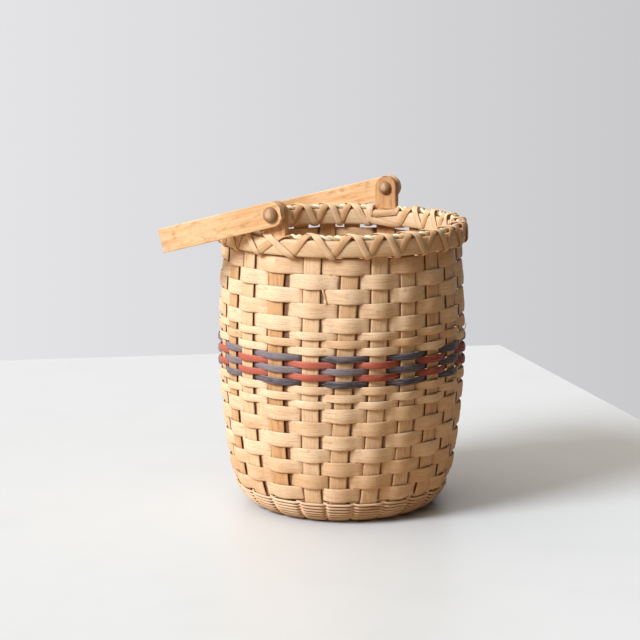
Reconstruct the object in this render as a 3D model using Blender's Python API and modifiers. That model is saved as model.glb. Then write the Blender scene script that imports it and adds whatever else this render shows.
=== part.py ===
"""Swing handle basket of woven flat reed, with a bent wood handle on two pegged ears.

Six long splints cross on the floor and rise as stakes, twelve short stakes lie between
them, and closed rows of reed go in and out round the uprights.  Twined round reed turns
the corner from wall to floor.  Two hoops clamp the top, a rope fills the groove between
them, and two flat strands lash the rim.  Two wooden ears stand in the weave as stakes
do, and the handle swings on a peg through each.

Frame: the origin is the middle of the underside, +Z is up, the front ear is on the -Y
side, and the handle lies fallen towards -X.  Angles round the basket start at -Y and
grow towards +X.
"""
import math
from dataclasses import dataclass

import bmesh
import bpy
from mathutils import Matrix, Vector

MM = 0.001

# Fits: GAP parts pieces that touch, REED_CLEARANCE parts a weaver from its stake
GAP = 0.3 * MM
REED_CLEARANCE = 0.35 * MM

# Wall: radii run to the middle of the stakes, heights start at the floor
BELLY_RADIUS = 115.2 * MM
BELLY_HEIGHT = 153.5 * MM
NECK_TAPER = 4.2 * MM
FOOT_TAPER = 9.7 * MM
FOOT_HEIGHT = 40.0 * MM
CORNER_REACH = 28.5 * MM
CORNER_STEPS = 4
STATION_SPACING = 32.0 * MM

# Rim
HOOP_TOP = 270.5 * MM
HOOP_DEPTH = 15.4 * MM
HOOP_THICKNESS = 4.0 * MM
HOOP_ROUNDING = 1.4 * MM
HOOP_ROOM = 0.95 * MM
FILLER_RADIUS = 2.1 * MM
FILLER_STEPS = 20
RING_STEPS = 48

# Stakes
STAKE_COUNT = 24
STAKE_WIDTH = 16.0 * MM
STAKE_THICKNESS = 1.2 * MM
STAKE_DROP = 2.2 * MM
HUB_WIDTH = 5.5 * MM
HUB_MARGIN = 1.2 * MM
HUB_RAMP = 8.5 * MM
SHORT_STAKE_START = 24.0 * MM
BASE_COVER_SHARE = 0.72
EAR_INTERVAL_DEG = 17.5
STAKE_LEANS_DEG = (0.0, 1.5, 7.5, 4.4, 1.9, 0.5, -1.0, 1.0, -0.5, 1.0, 0.5, -1.0,
                   0.0, 1.0, -1.0, 0.5, 1.0, -0.5, -1.0, 0.5, 1.0, 1.0, 2.0, -1.0)

# Woven rows, from the rim down
WIDE_REED = 12.5 * MM
FINE_REED = 6.2 * MM
BAND_REED = 5.2 * MM
WIDE_THICKNESS = 0.9 * MM
FINE_THICKNESS = 1.1 * MM
BAND_THICKNESS = 1.5 * MM
ROW_GAP = 0.65 * MM
FINE_GAP = 0.9 * MM
LASHING_SLOT = 3.65 * MM
WEAVER_BEND = 0.8 * MM
UPPER_ROWS = 5
FINE_ROWS = 3
BAND_COLOURS = ("blue", "red", "blue", "red", "blue")

# Twined round reed at the foot
TWINING_TOP = 24.6 * MM
TWINING_THICKNESS = 2.4 * MM
TWINING_ROUND_ROOM = 0.6 * MM

# Lashing
LASHING_WIDTH = 6.0 * MM
LASHING_THICKNESS = 0.7 * MM
LASHING_FACE_GAP = 0.55 * MM
LASHING_LAYER_GAP = 0.5 * MM
LASHING_PLAIN_DEG = 12.0
LASHING_STEP_DEG = 5.0

# Ears
EAR_OFFSET = 8.7 * MM
EAR_WIDTH = 23.0 * MM
EAR_INNER = 1.4 * MM
EAR_OUTER = 5.6 * MM
EAR_SEAT = 0.5 * MM
EAR_ROOT = 6.0 * MM
EAR_TAIL_OVERLAP = 8.4 * MM
EAR_LASHING_GAP = 0.5 * MM

# Pegs
PIVOT_RISE = 22.0 * MM
PEG_RADIUS = 3.5 * MM
PEG_CLEARANCE = 0.32 * MM
PEG_HEAD_RADIUS = 7.3 * MM
PEG_HEAD_HEIGHT = 5.0 * MM
PEG_CAP_RADIUS = 6.6 * MM
PEG_CAP_HEIGHT = 5.0 * MM
PEG_CAP_WALL = 1.6 * MM
PEG_STEPS = 16
DOME_STEPS = 3

# Handle
HANDLE_WIDTH = 23.0 * MM
HANDLE_THICKNESS = 6.0 * MM
HANDLE_LENGTH = 160.0 * MM
HANDLE_CORNER = 85.0 * MM
HANDLE_EAR_GAP = 0.4 * MM
HANDLE_REST_GAP = 0.35 * MM
HANDLE_CORNER_STEPS = 9

# Cutters run past what they cut by this much
OVERRUN = 5.0 * MM

# Worked out from the sizes above
TOP_RADIUS = BELLY_RADIUS - NECK_TAPER
FOOT_RADIUS = BELLY_RADIUS - FOOT_TAPER
FLAT_RADIUS = FOOT_RADIUS - CORNER_REACH
BASE_LEVEL = TWINING_THICKNESS + GAP + STAKE_THICKNESS / 2
HUB_PITCH = STAKE_THICKNESS + GAP
HOOP_BOTTOM = HOOP_TOP - HOOP_DEPTH
HOOP_SEAT = STAKE_THICKNESS / 2 + REED_CLEARANCE + WIDE_THICKNESS + HOOP_ROOM
STAKE_TOP = HOOP_TOP - STAKE_DROP
FILLER_HEIGHT = STAKE_TOP + GAP + FILLER_RADIUS
PIVOT_HEIGHT = HOOP_TOP + PIVOT_RISE
LONG_SPLINTS = STAKE_COUNT // 4
EAR_STAKES = (0, STAKE_COUNT // 2)
EAR_TURN = math.asin(EAR_OFFSET / TOP_RADIUS)
EAR_PLANE = math.sqrt(TOP_RADIUS ** 2 - EAR_OFFSET ** 2)
ARM_INNER = EAR_PLANE + EAR_OUTER + HANDLE_EAR_GAP
ARM_MIDDLE = ARM_INNER + HANDLE_THICKNESS / 2

# Colours as red, green and blue shares, with roughness
FINISHES = {
    "stake_reed": ((0.66, 0.50, 0.32), 0.68),
    "weaver_reed": ((0.74, 0.59, 0.38), 0.62),
    "blue_reed": ((0.12, 0.13, 0.18), 0.60),
    "red_reed": ((0.34, 0.10, 0.06), 0.60),
    "round_reed": ((0.68, 0.49, 0.33), 0.66),
    "hoop_reed": ((0.72, 0.55, 0.34), 0.62),
    "lashing_reed": ((0.64, 0.47, 0.28), 0.60),
    "seagrass": ((0.60, 0.57, 0.42), 0.80),
    "handle_wood": ((0.76, 0.52, 0.26), 0.45),
    "peg_wood": ((0.42, 0.26, 0.14), 0.38),
}


@dataclass(frozen=True)
class Row:
    """One closed row of weaving: its middle height, its reed and its place in the order."""

    name: str
    height: float
    width: float
    thickness: float
    finish: str
    order: int

    @property
    def top(self):
        return self.height + self.width / 2

    @property
    def bottom(self):
        return self.height - self.width / 2


def radial(angle):
    """Unit vector away from the basket's axis."""
    return Vector((math.sin(angle), -math.cos(angle), 0.0))


def tangent(angle):
    """Unit vector along the wall, towards growing angles."""
    return Vector((math.cos(angle), math.sin(angle), 0.0))


def corner_ellipse():
    """Half axes of the ellipse that joins the flat base to the foot of the wall."""
    rise = FOOT_HEIGHT - BASE_LEVEL
    slope = 2 * FOOT_TAPER / (BELLY_HEIGHT - FOOT_HEIGHT)
    steepness = slope * rise / CORNER_REACH
    cosine = steepness / (1 - steepness)
    return CORNER_REACH / math.sqrt(1 - cosine ** 2), rise / (1 - cosine)


def wall_radius(height):
    """Radius of the stakes' middle at a height above the floor."""
    if height >= BELLY_HEIGHT:
        share = min(1.0, (height - BELLY_HEIGHT) / (HOOP_BOTTOM - BELLY_HEIGHT))
        return BELLY_RADIUS - NECK_TAPER * share ** 2
    if height >= FOOT_HEIGHT:
        share = (BELLY_HEIGHT - height) / (BELLY_HEIGHT - FOOT_HEIGHT)
        return BELLY_RADIUS - FOOT_TAPER * share ** 2
    across, up = corner_ellipse()
    cosine = 1 - (height - BASE_LEVEL) / up
    return FLAT_RADIUS + across * math.sqrt(1 - cosine ** 2)


def corner_places():
    """Points (radius, height) of the corner, from the flat base to the twining's top."""
    across, up = corner_ellipse()
    full = math.acos(1 - (TWINING_TOP - BASE_LEVEL) / up)
    turns = [full * step / CORNER_STEPS for step in range(CORNER_STEPS + 1)]
    return [(FLAT_RADIUS + across * math.sin(turn), BASE_LEVEL + up * (1 - math.cos(turn)))
            for turn in turns]


def corner_normals():
    """Outward normals (radial, vertical) at the points of the corner."""
    across, up = corner_ellipse()
    normals = []
    for radius, height in corner_places():
        out = Vector(((radius - FLAT_RADIUS) / across ** 2,
                      (height - BASE_LEVEL - up) / up ** 2)).normalized()
        normals.append((out.x, out.y))
    return normals


def woven_rows():
    """Every woven row, from the one between the hoops down to the twining."""
    rim_bottom = HOOP_BOTTOM + ROW_GAP
    rows = [Row("rim_weaver", (rim_bottom + STAKE_TOP) / 2, STAKE_TOP - rim_bottom,
                WIDE_THICKNESS, "weaver_reed", 0)]
    zones = [
        ("upper_weaver", ["weaver"] * UPPER_ROWS, WIDE_REED, WIDE_THICKNESS, ROW_GAP),
        ("fine_weaver", ["weaver"] * FINE_ROWS, FINE_REED, FINE_THICKNESS, FINE_GAP),
        ("weaver", BAND_COLOURS, BAND_REED, BAND_THICKNESS, ROW_GAP),
        ("fine_weaver", ["weaver"] * FINE_ROWS, FINE_REED, FINE_THICKNESS, ROW_GAP),
    ]
    counts = {}
    edge = HOOP_BOTTOM - LASHING_SLOT
    for zone, colours, width, thickness, gap in zones:
        for colour in colours:
            kind = zone if colour == "weaver" else f"{colour}_{zone}"
            counts[kind] = counts.get(kind, 0) + 1
            rows.append(Row(f"{kind}_{counts[kind]}", edge - width / 2, width, thickness,
                            f"{colour}_reed", len(rows)))
            edge -= width + gap
    lower_count = round((edge - TWINING_TOP) / WIDE_REED)
    pitch = (edge - TWINING_TOP) / lower_count
    for number in range(lower_count):
        rows.append(Row(f"lower_weaver_{number + 1}", edge - pitch / 2 + ROW_GAP / 2,
                        pitch - ROW_GAP, WIDE_THICKNESS, "weaver_reed", len(rows)))
        edge -= pitch
    return rows


def wall_levels(rows):
    """Heights where the stakes bend, all between two rows, from the foot to the top."""
    levels = [TWINING_TOP]
    for row in reversed(rows[1:]):
        edge = row.top + ROW_GAP / 2
        turning = levels[-1] < FOOT_HEIGHT + WIDE_REED
        room_above = HOOP_BOTTOM - edge > STATION_SPACING / 2
        if room_above and (turning or edge - levels[-1] > STATION_SPACING - FINE_REED / 2):
            levels.append(edge)
    return levels + [HOOP_BOTTOM, STAKE_TOP]


ROWS = woven_rows()
LEVELS = wall_levels(ROWS)


def bent_radius(height):
    """Radius of the stakes' middle where they run straight from bend to bend."""
    level = max(1, min(len(LEVELS) - 1, sum(height > bend for bend in LEVELS)))
    low, high = LEVELS[level - 1], LEVELS[level]
    share = (height - low) / (high - low)
    return wall_radius(low) * (1 - share) + wall_radius(high) * share


def stake_angle(stake, height):
    """Angle of a stake at a height: even between the ears, with its own lean."""
    half = STAKE_COUNT // 2
    interval = math.radians(EAR_INTERVAL_DEG)
    if stake <= half:
        low, high, step = -EAR_TURN, math.pi + EAR_TURN, stake
    else:
        low, high, step = math.pi + EAR_TURN, 2 * math.pi - EAR_TURN, stake - half
    if step == 0:
        angle = low
    elif step == half:
        angle = high
    else:
        angle = low + interval + (step - 1) * (high - low - 2 * interval) / (half - 2)
    lean = math.radians(STAKE_LEANS_DEG[stake % STAKE_COUNT])
    return angle + lean * (height / HOOP_TOP - 1 / 2)


def base_angle(stake, radius):
    """Angle of a stake on the base: even at the middle, its wall angle at the corner."""
    even = 2 * math.pi * stake / STAKE_COUNT
    share = max(0.0, (radius - SHORT_STAKE_START) / (FLAT_RADIUS - SHORT_STAKE_START))
    return even + (stake_angle(stake, BASE_LEVEL) - even) * min(1.0, share)


def base_width(radius):
    """Width of a stake on the base, where all of them narrow towards the middle."""
    room = BASE_COVER_SHARE * 2 * math.pi * radius / STAKE_COUNT
    return min(STAKE_WIDTH, max(HUB_WIDTH, room))


def material(finish):
    """The Principled material of a finish, made once."""
    if finish in bpy.data.materials:
        return bpy.data.materials[finish]
    colour, roughness = FINISHES[finish]
    made = bpy.data.materials.new(finish)
    made.use_nodes = True
    made.diffuse_color = (*colour, 1.0)
    shader = made.node_tree.nodes["Principled BSDF"]
    shader.inputs["Base Color"].default_value = (*colour, 1.0)
    shader.inputs["Roughness"].default_value = roughness
    shader.inputs["Metallic"].default_value = 0.0
    return made


def add_object(name, data, finish):
    """Link an object with its finish into the basket's collection."""
    made = bpy.data.objects.new(name, data)
    data.materials.append(material(finish))
    bpy.data.collections["swing_handle_basket"].objects.link(made)
    return made


def make_helper(helper):
    """Turn an object into a hidden cutter or guide."""
    bpy.data.collections["swing_handle_basket"].objects.unlink(helper)
    bpy.data.collections["cutters"].objects.link(helper)
    helper.hide_render = True
    helper.display_type = "WIRE"


def solidify(piece, thickness):
    """Give a flat strip its thickness, half on each side."""
    wall = piece.modifiers.new("thickness", "SOLIDIFY")
    wall.solidify_mode = "NON_MANIFOLD"
    wall.nonmanifold_thickness_mode = "CONSTRAINTS"
    wall.nonmanifold_merge_threshold = GAP / 100
    wall.thickness = thickness
    wall.offset = 0.0


def strip(name, lefts, rights, thickness, finish):
    """An open flat strip between two rows of edge points."""
    bm = bmesh.new()
    grid = bmesh.ops.create_grid(bm, x_segments=len(lefts) - 1, y_segments=1, size=1.0)
    for vert, place in zip(grid["verts"], lefts + rights):
        vert.co = place
    mesh = bpy.data.meshes.new(name)
    bm.to_mesh(mesh)
    bm.free()
    made = add_object(name, mesh, finish)
    solidify(made, thickness)
    return made


def band(name, lows, highs, thickness, finish):
    """A closed flat ring between a lower and an upper row of edge points."""
    bm = bmesh.new()
    ring = bmesh.ops.create_circle(bm, segments=len(lows), radius=1.0)["verts"]
    for vert, place in zip(ring, lows):
        vert.co = place
    grown = bmesh.ops.extrude_edge_only(bm, edges=bm.edges[:])["geom"]
    fresh = {item for item in grown if isinstance(item, bmesh.types.BMVert)}
    for vert, place in zip(ring, highs):
        partner = next(edge.other_vert(vert) for edge in vert.link_edges
                       if edge.other_vert(vert) in fresh)
        partner.co = place
    mesh = bpy.data.meshes.new(name)
    bm.to_mesh(mesh)
    bm.free()
    made = add_object(name, mesh, finish)
    solidify(made, thickness)
    return made


def turned(name, profile, steps, finish, closed=False):
    """A body of revolution about Z; the profile's outer side runs from top to bottom."""
    bm = bmesh.new()
    verts = [bm.verts.new((radius, 0.0, height)) for radius, height in profile]
    for first, second in zip(verts, verts[1:]):
        bm.edges.new((first, second))
    if closed:
        bm.edges.new((verts[-1], verts[0]))
    mesh = bpy.data.meshes.new(name)
    bm.to_mesh(mesh)
    bm.free()
    made = add_object(name, mesh, finish)
    spin = made.modifiers.new("turn", "SCREW")
    spin.steps = steps
    spin.render_steps = steps
    spin.use_merge_vertices = True
    spin.merge_threshold = GAP / 100
    return made


def subtract(piece, cutter):
    """Cut one object out of another."""
    cut = piece.modifiers.new("cut", "BOOLEAN")
    cut.operation = "DIFFERENCE"
    cut.object = cutter


def peg_hole_cutter(name, reach):
    """A cylinder along Y through the pivot, a little larger than the peg."""
    bm = bmesh.new()
    flats = math.cos(math.pi / PEG_STEPS)
    hole = (PEG_RADIUS + PEG_CLEARANCE) / flats
    bmesh.ops.create_cone(bm, cap_ends=True, segments=PEG_STEPS, radius1=hole, radius2=hole,
                          depth=2 * (reach + OVERRUN),
                          matrix=Matrix.Rotation(math.pi / 2, 4, "X"))
    mesh = bpy.data.meshes.new(name)
    bm.to_mesh(mesh)
    bm.free()
    cutter = add_object(name, mesh, "peg_wood")
    make_helper(cutter)
    return cutter


def leg_stations(stake, top):
    """Middle point, side vector and width of a stake from its top down to the base."""
    stations = []
    heights = [level for level in LEVELS if level < top - GAP] + [top]
    for height in reversed(heights):
        angle = stake_angle(stake, height)
        place = radial(angle) * bent_radius(height) + Vector((0.0, 0.0, height))
        stations.append((place, tangent(angle), STAKE_WIDTH))
    for radius, height in reversed(corner_places()[:-1]):
        angle = stake_angle(stake, height)
        place = radial(angle) * radius + Vector((0.0, 0.0, height))
        stations.append((place, tangent(angle), base_width(radius)))
    return stations


def base_station(stake, radius, height):
    """Middle point, side vector and width of a stake on the base."""
    angle = base_angle(stake, radius)
    place = radial(angle) * radius + Vector((0.0, 0.0, height))
    return place, tangent(angle), base_width(radius)


def strip_along(name, stations, thickness, finish):
    """A strip through stations of middle point, side vector and width."""
    lefts = [place - side * width / 2 for place, side, width in stations]
    rights = [place + side * width / 2 for place, side, width in stations]
    return strip(name, lefts, rights, thickness, finish)


def narrowing_radius():
    """Radius where a stake on the base has narrowed to its width at the hub."""
    return HUB_WIDTH * STAKE_COUNT / (2 * math.pi * BASE_COVER_SHARE)


def make_long_splint(number):
    """One splint from rim to rim across the base, stacked on the others at the hub."""
    near, far = 2 * number, 2 * number + STAKE_COUNT // 2
    top = TWINING_TOP + EAR_TAIL_OVERLAP - 2 * ROW_GAP if near in EAR_STAKES else STAKE_TOP
    hub_level = STAKE_THICKNESS / 2 + HUB_PITCH * number
    hub_reach = HUB_WIDTH / 2 / math.tan(math.pi / LONG_SPLINTS / 2) + HUB_MARGIN
    halves = []
    for stake in (near, far):
        half = leg_stations(stake, top)
        half.append(base_station(stake, narrowing_radius(), BASE_LEVEL))
        half.append(base_station(stake, hub_reach + HUB_RAMP, BASE_LEVEL))
        half.append(base_station(stake, hub_reach, hub_level))
        halves.append(half)
    back = [(place, -side, width) for place, side, width in reversed(halves[1])]
    return strip_along(f"long_splint_{number + 1}", halves[0] + back, STAKE_THICKNESS,
                       "stake_reed")


def make_short_stake(number):
    """A stake laid in between two splints on the base and bent up the wall."""
    stake = 2 * number + 1
    stations = leg_stations(stake, STAKE_TOP)
    stations.append(base_station(stake, narrowing_radius(), BASE_LEVEL))
    stations.append(base_station(stake, SHORT_STAKE_START, BASE_LEVEL))
    return strip_along(f"short_stake_{number + 1:02d}", stations, STAKE_THICKNESS,
                       "stake_reed")


def make_weaver(row):
    """One closed row that passes outside every second stake and inside the others."""
    lean = (bent_radius(row.top) - bent_radius(row.bottom)) / row.width
    middle = (bent_radius(row.top) + bent_radius(row.bottom)) / 2
    tilt = math.atan(lean)
    offset = STAKE_THICKNESS / 2 + REED_CLEARANCE + row.thickness / 2
    reach = STAKE_WIDTH / 2 + WEAVER_BEND
    lows, highs = [], []
    for stake in range(STAKE_COUNT):
        outside = 1 if (stake + row.order) % 2 else -1
        angle = stake_angle(stake, row.height)
        out, up = radial(angle), Vector((0.0, 0.0, 1.0))
        normal = out * math.cos(tilt) - up * math.sin(tilt)
        along = out * math.sin(tilt) + up * math.cos(tilt)
        centre = out * middle + up * row.height + normal * offset * outside
        for side in (-reach, reach):
            place = centre + tangent(angle) * side
            lows.append(place - along * row.width / 2)
            highs.append(place + along * row.width / 2)
    return band(row.name, lows, highs, row.thickness, row.finish)


def make_twining(name, side):
    """The twined round reed on one side of the stakes, as a shell round the corner."""
    inner, outer = [], []
    places = [(SHORT_STAKE_START, BASE_LEVEL)] + corner_places()
    normals = [(0.0, -1.0)] + corner_normals()
    for (radius, height), (out, up) in zip(places, normals):
        room = STAKE_THICKNESS / 2 + GAP + TWINING_ROUND_ROOM * out
        near = side * room
        far = side * (room + TWINING_THICKNESS)
        inner.append((radius + out * near, height + up * near))
        outer.append((radius + out * far, height + up * far))
    if side > 0:
        profile = outer[::-1] + inner
    else:
        profile = inner[::-1] + outer
    return turned(name, profile, RING_STEPS, "round_reed", closed=True)


def make_hoop(name, side):
    """A half-round hoop outside (side 1) or inside (side -1) the stakes."""
    seat = TOP_RADIUS + side * HOOP_SEAT
    face = seat + side * HOOP_THICKNESS
    shoulder = face - side * HOOP_ROUNDING
    profile = [(seat, HOOP_TOP), (shoulder, HOOP_TOP), (face, HOOP_TOP - 2 * HOOP_ROUNDING),
               (face, HOOP_BOTTOM + 2 * HOOP_ROUNDING), (shoulder, HOOP_BOTTOM),
               (seat, HOOP_BOTTOM)]
    if side < 0:
        profile.reverse()
    return turned(name, profile, RING_STEPS, "hoop_reed", closed=True)


def make_rim_filler(name, first_ear, last_ear):
    """The rope that fills the groove between the hoops, from one ear to the other."""
    clear = math.asin((EAR_WIDTH / 2 + GAP) / TOP_RADIUS)
    start = stake_angle(first_ear, HOOP_TOP) + clear
    end = stake_angle(last_ear, HOOP_TOP) - clear
    curve = bpy.data.curves.new(name, "CURVE")
    curve.dimensions = "3D"
    curve.bevel_depth = FILLER_RADIUS
    curve.bevel_resolution = 1
    curve.use_fill_caps = True
    curve.resolution_u = 1
    spline = curve.splines.new("POLY")
    spline.points.add(FILLER_STEPS)
    for step, point in enumerate(spline.points):
        angle = start + (end - start) * step / FILLER_STEPS
        place = radial(angle) * TOP_RADIUS
        point.co = (place.x, place.y, FILLER_HEIGHT, 1.0)
    return add_object(name, curve, "seagrass")


def lashing_frame(layer):
    """Radii and heights of the box that a lashing strand wraps round the rim."""
    half = LASHING_THICKNESS / 2
    step = half + layer * (LASHING_THICKNESS + LASHING_LAYER_GAP)
    reach = HOOP_SEAT + HOOP_THICKNESS + LASHING_FACE_GAP + step
    outer, inner = TOP_RADIUS + reach, TOP_RADIUS - reach
    top = FILLER_HEIGHT + FILLER_RADIUS + GAP + half + layer * (LASHING_THICKNESS + GAP)
    bottom = HOOP_BOTTOM - GAP - step
    return outer, inner, top, bottom


def lashing_turn(start, apex, end, frame):
    """Places of one turn: up the outside to the apex, over, and down the inside."""
    outer, inner, top, bottom = frame
    path = []
    for radius, begin, finish, low, high in ((outer, start, apex, bottom, top),
                                             (inner, apex, end, top, bottom)):
        span = abs(math.degrees(finish - begin))
        count = 1 if span < LASHING_PLAIN_DEG else math.ceil(span / LASHING_STEP_DEG)
        for step in range(count + 1):
            share = step / count
            angle = begin + (finish - begin) * share
            path.append((angle, radius, low + (high - low) * share))
    return path


def beside_ear_angle():
    """Angle from an ear's middle to the strand that goes over the rim beside it."""
    return math.asin((EAR_WIDTH / 2 + EAR_LASHING_GAP + LASHING_WIDTH / 2) / TOP_RADIUS)


def lashing_path(direction, layer):
    """Every place of a strand: a turn over each stake, and a crossing at each ear."""
    frame = lashing_frame(layer)
    beside_ear = beside_ear_angle()
    path = []
    order = range(STAKE_COUNT) if direction > 0 else reversed(range(STAKE_COUNT))
    for stake in order:
        apex = stake_angle(stake, HOOP_TOP)
        before = stake_angle(stake - 1, HOOP_TOP) if stake else \
            stake_angle(STAKE_COUNT - 1, HOOP_TOP) - 2 * math.pi
        after = stake_angle(stake + 1, HOOP_TOP)
        holes = [(before + apex) / 2, (apex + after) / 2]
        if stake == EAR_STAKES[0]:
            apex += direction * beside_ear
        elif stake == EAR_STAKES[1]:
            apex -= direction * beside_ear
        start, end = holes if direction > 0 else holes[::-1]
        path += lashing_turn(start, apex, end, frame)
    return path


def least_gap(path, thickness):
    """Least gap between places of a strand that lie a few steps apart."""
    points = [radial(angle) * radius + Vector((0.0, 0.0, height))
              for angle, radius, height in path]
    apart = 3
    nearest = min((points[one] - points[two]).length for one in range(len(points))
                  for two in range(one + apart, len(points)))
    return nearest - thickness


def make_lashing(name, direction, layer):
    """One flat strand wound round the whole rim through the slot under the hoops."""
    path = lashing_path(direction, layer)
    print(f"{name}: least gap to itself {least_gap(path, LASHING_THICKNESS) / MM:.2f} mm")
    stations = [(radial(angle) * radius + Vector((0.0, 0.0, height)), tangent(angle),
                 LASHING_WIDTH) for angle, radius, height in path]
    return strip_along(name, stations, LASHING_THICKNESS, "lashing_reed")


def rounded_end(half_width):
    """Distance past the centre and half width, from the tip to the full width."""
    turns = [math.radians(degrees) for degrees in (12, 35, 60, 90)]
    return [(half_width * math.cos(turn), half_width * math.sin(turn)) for turn in turns]


def make_ear(name, stake, side):
    """A wooden ear: a thin tail woven in as a stake, and a thick head over the rim."""
    middle = Vector((-EAR_OFFSET, side * (EAR_PLANE + (EAR_OUTER - EAR_INNER) / 2), 0.0))
    across = Vector((1.0, 0.0, 0.0))
    stations = [(middle + Vector((0.0, 0.0, HOOP_TOP + EAR_SEAT)), across, EAR_WIDTH)]
    for reach, half in reversed(rounded_end(EAR_WIDTH / 2)):
        stations.append((middle + Vector((0.0, 0.0, PIVOT_HEIGHT + reach)), across,
                         2 * half))
    ear = strip_along(name, stations, EAR_OUTER + EAR_INNER, "handle_wood")
    foot = TWINING_TOP + EAR_TAIL_OVERLAP
    levels = [foot] + [level for level in LEVELS if foot < level < STAKE_TOP]
    levels.append(HOOP_TOP + EAR_SEAT + EAR_ROOT)
    legs = []
    for level in levels:
        angle = stake_angle(stake, level)
        place = radial(angle) * bent_radius(min(level, STAKE_TOP))
        legs.append((place + Vector((0.0, 0.0, level)), tangent(angle), STAKE_WIDTH))
    tail = strip_along(f"{name}_tail", legs, STAKE_THICKNESS, "handle_wood")
    make_helper(tail)
    join = ear.modifiers.new("tail", "BOOLEAN")
    join.operation = "UNION"
    join.object = tail
    return ear


def dome(radius, height):
    """Quarter of an ellipse from the pole to the rim of a peg's head."""
    turns = [math.pi / 2 * step / DOME_STEPS for step in range(DOME_STEPS + 1)]
    return [(radius * math.sin(turn), height * math.cos(turn)) for turn in turns]


def make_peg(name, side):
    """A peg through arm and ear, with a domed head outside the arm."""
    seat = HANDLE_THICKNESS / 2 + HANDLE_EAR_GAP
    length = seat + ARM_MIDDLE - EAR_PLANE + EAR_INNER + GAP + PEG_CAP_HEIGHT - PEG_CAP_WALL
    profile = dome(PEG_HEAD_RADIUS, PEG_HEAD_HEIGHT)
    profile += [(PEG_RADIUS, 0.0), (PEG_RADIUS, -length), (0.0, -length)]
    peg = turned(name, profile, PEG_STEPS, "peg_wood")
    peg.location = (-EAR_OFFSET, side * (ARM_MIDDLE + seat), PIVOT_HEIGHT)
    peg.rotation_euler = (-side * math.pi / 2, 0.0, 0.0)
    return peg


def make_peg_cap(name, side):
    """A domed button that closes the peg's inner end."""
    bore = PEG_RADIUS + PEG_CLEARANCE
    depth = PEG_CAP_HEIGHT - PEG_CAP_WALL + GAP
    profile = dome(PEG_CAP_RADIUS, PEG_CAP_HEIGHT)
    profile += [(bore, 0.0), (bore, depth), (0.0, depth)]
    cap = turned(name, profile, PEG_STEPS, "peg_wood")
    cap.location = (-EAR_OFFSET, side * (EAR_PLANE - EAR_INNER - GAP), PIVOT_HEIGHT)
    cap.rotation_euler = (side * math.pi / 2, 0.0, 0.0)
    return cap


def handle_stations():
    """Middle point, side vector and width along the upright handle, about the pivot."""
    across = Vector((1.0, 0.0, 0.0))
    half = []
    for reach, half_width in rounded_end(HANDLE_WIDTH / 2):
        half.append((Vector((0.0, -ARM_MIDDLE, -reach)), across, 2 * half_width))
    for step in range(HANDLE_CORNER_STEPS + 1):
        turn = math.pi / 2 * step / HANDLE_CORNER_STEPS
        half.append((Vector((0.0, HANDLE_CORNER * (1 - math.cos(turn)) - ARM_MIDDLE,
                             HANDLE_LENGTH - HANDLE_CORNER * (1 - math.sin(turn)))),
                     across, HANDLE_WIDTH))
    mirror = Vector((1.0, -1.0, 1.0))
    return half + [(place * mirror, side, width) for place, side, width in reversed(half)]


def resting_drop():
    """Angle below level at which the fallen handle's arms rest on the lashing."""
    outer, _, top, _ = lashing_frame(1)
    contact = top + LASHING_THICKNESS / 2 + HANDLE_REST_GAP
    rise = PIVOT_HEIGHT - contact
    face = outer + LASHING_THICKNESS / 2
    strand = face * math.sin(EAR_TURN + beside_ear_angle()) + LASHING_WIDTH / 2
    away = min(math.sqrt(face ** 2 - ARM_INNER ** 2), strand) - EAR_OFFSET
    return math.acos(HANDLE_WIDTH / 2 / math.hypot(rise, away)) - math.atan2(away, rise)


def make_handle():
    """The bent wood handle on its pivot, fallen towards -X until it meets the rim."""
    handle = strip_along("handle", handle_stations(), HANDLE_THICKNESS, "handle_wood")
    handle.location = (-EAR_OFFSET, 0.0, PIVOT_HEIGHT)
    handle.rotation_euler = (0.0, -(math.pi / 2 + resting_drop()), 0.0)
    return handle


def clear_scene():
    """Remove what the file holds and make the two collections."""
    for item in list(bpy.data.objects):
        bpy.data.objects.remove(item, do_unlink=True)
    for name in ("swing_handle_basket", "cutters"):
        collection = bpy.data.collections.new(name)
        bpy.context.scene.collection.children.link(collection)


def main():
    """Build every piece of the basket."""
    clear_scene()
    for number in range(LONG_SPLINTS):
        make_long_splint(number)
    for number in range(STAKE_COUNT // 2):
        make_short_stake(number)
    for row in ROWS:
        make_weaver(row)
    make_twining("twining_outer", 1)
    make_twining("twining_inner", -1)
    make_hoop("hoop_outer", 1)
    make_hoop("hoop_inner", -1)
    make_rim_filler("rim_filler_right", 0, STAKE_COUNT // 2)
    make_rim_filler("rim_filler_left", STAKE_COUNT // 2, STAKE_COUNT)
    make_lashing("lashing_first", 1, 0)
    make_lashing("lashing_second", -1, 1)
    cutter = peg_hole_cutter("peg_hole", ARM_MIDDLE + HANDLE_THICKNESS / 2)
    cutter.location = (-EAR_OFFSET, 0.0, PIVOT_HEIGHT)
    for name, stake, side in (("front", EAR_STAKES[0], -1), ("back", EAR_STAKES[1], 1)):
        subtract(make_ear(f"ear_{name}", stake, side), cutter)
        make_peg(f"peg_{name}", side)
        make_peg_cap(f"peg_cap_{name}", side)
    subtract(make_handle(), cutter)


main()
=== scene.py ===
"""Looks of a swing handle basket: woven flat reed, a dyed band, a lashed rim and a bent handle.

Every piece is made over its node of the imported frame, in metres, on the same wall, stake
places and row heights.  Angles round the basket start at -Y, where the front ear stands,
and grow towards +X.
"""
import logging
import math
import random
from abc import ABC, abstractmethod
from bisect import bisect_right
from dataclasses import dataclass, replace
from enum import Enum, IntEnum
from typing import Iterable, NamedTuple, Sequence

import bmesh
import bpy
from mathutils import Matrix, Vector, noise


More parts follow.
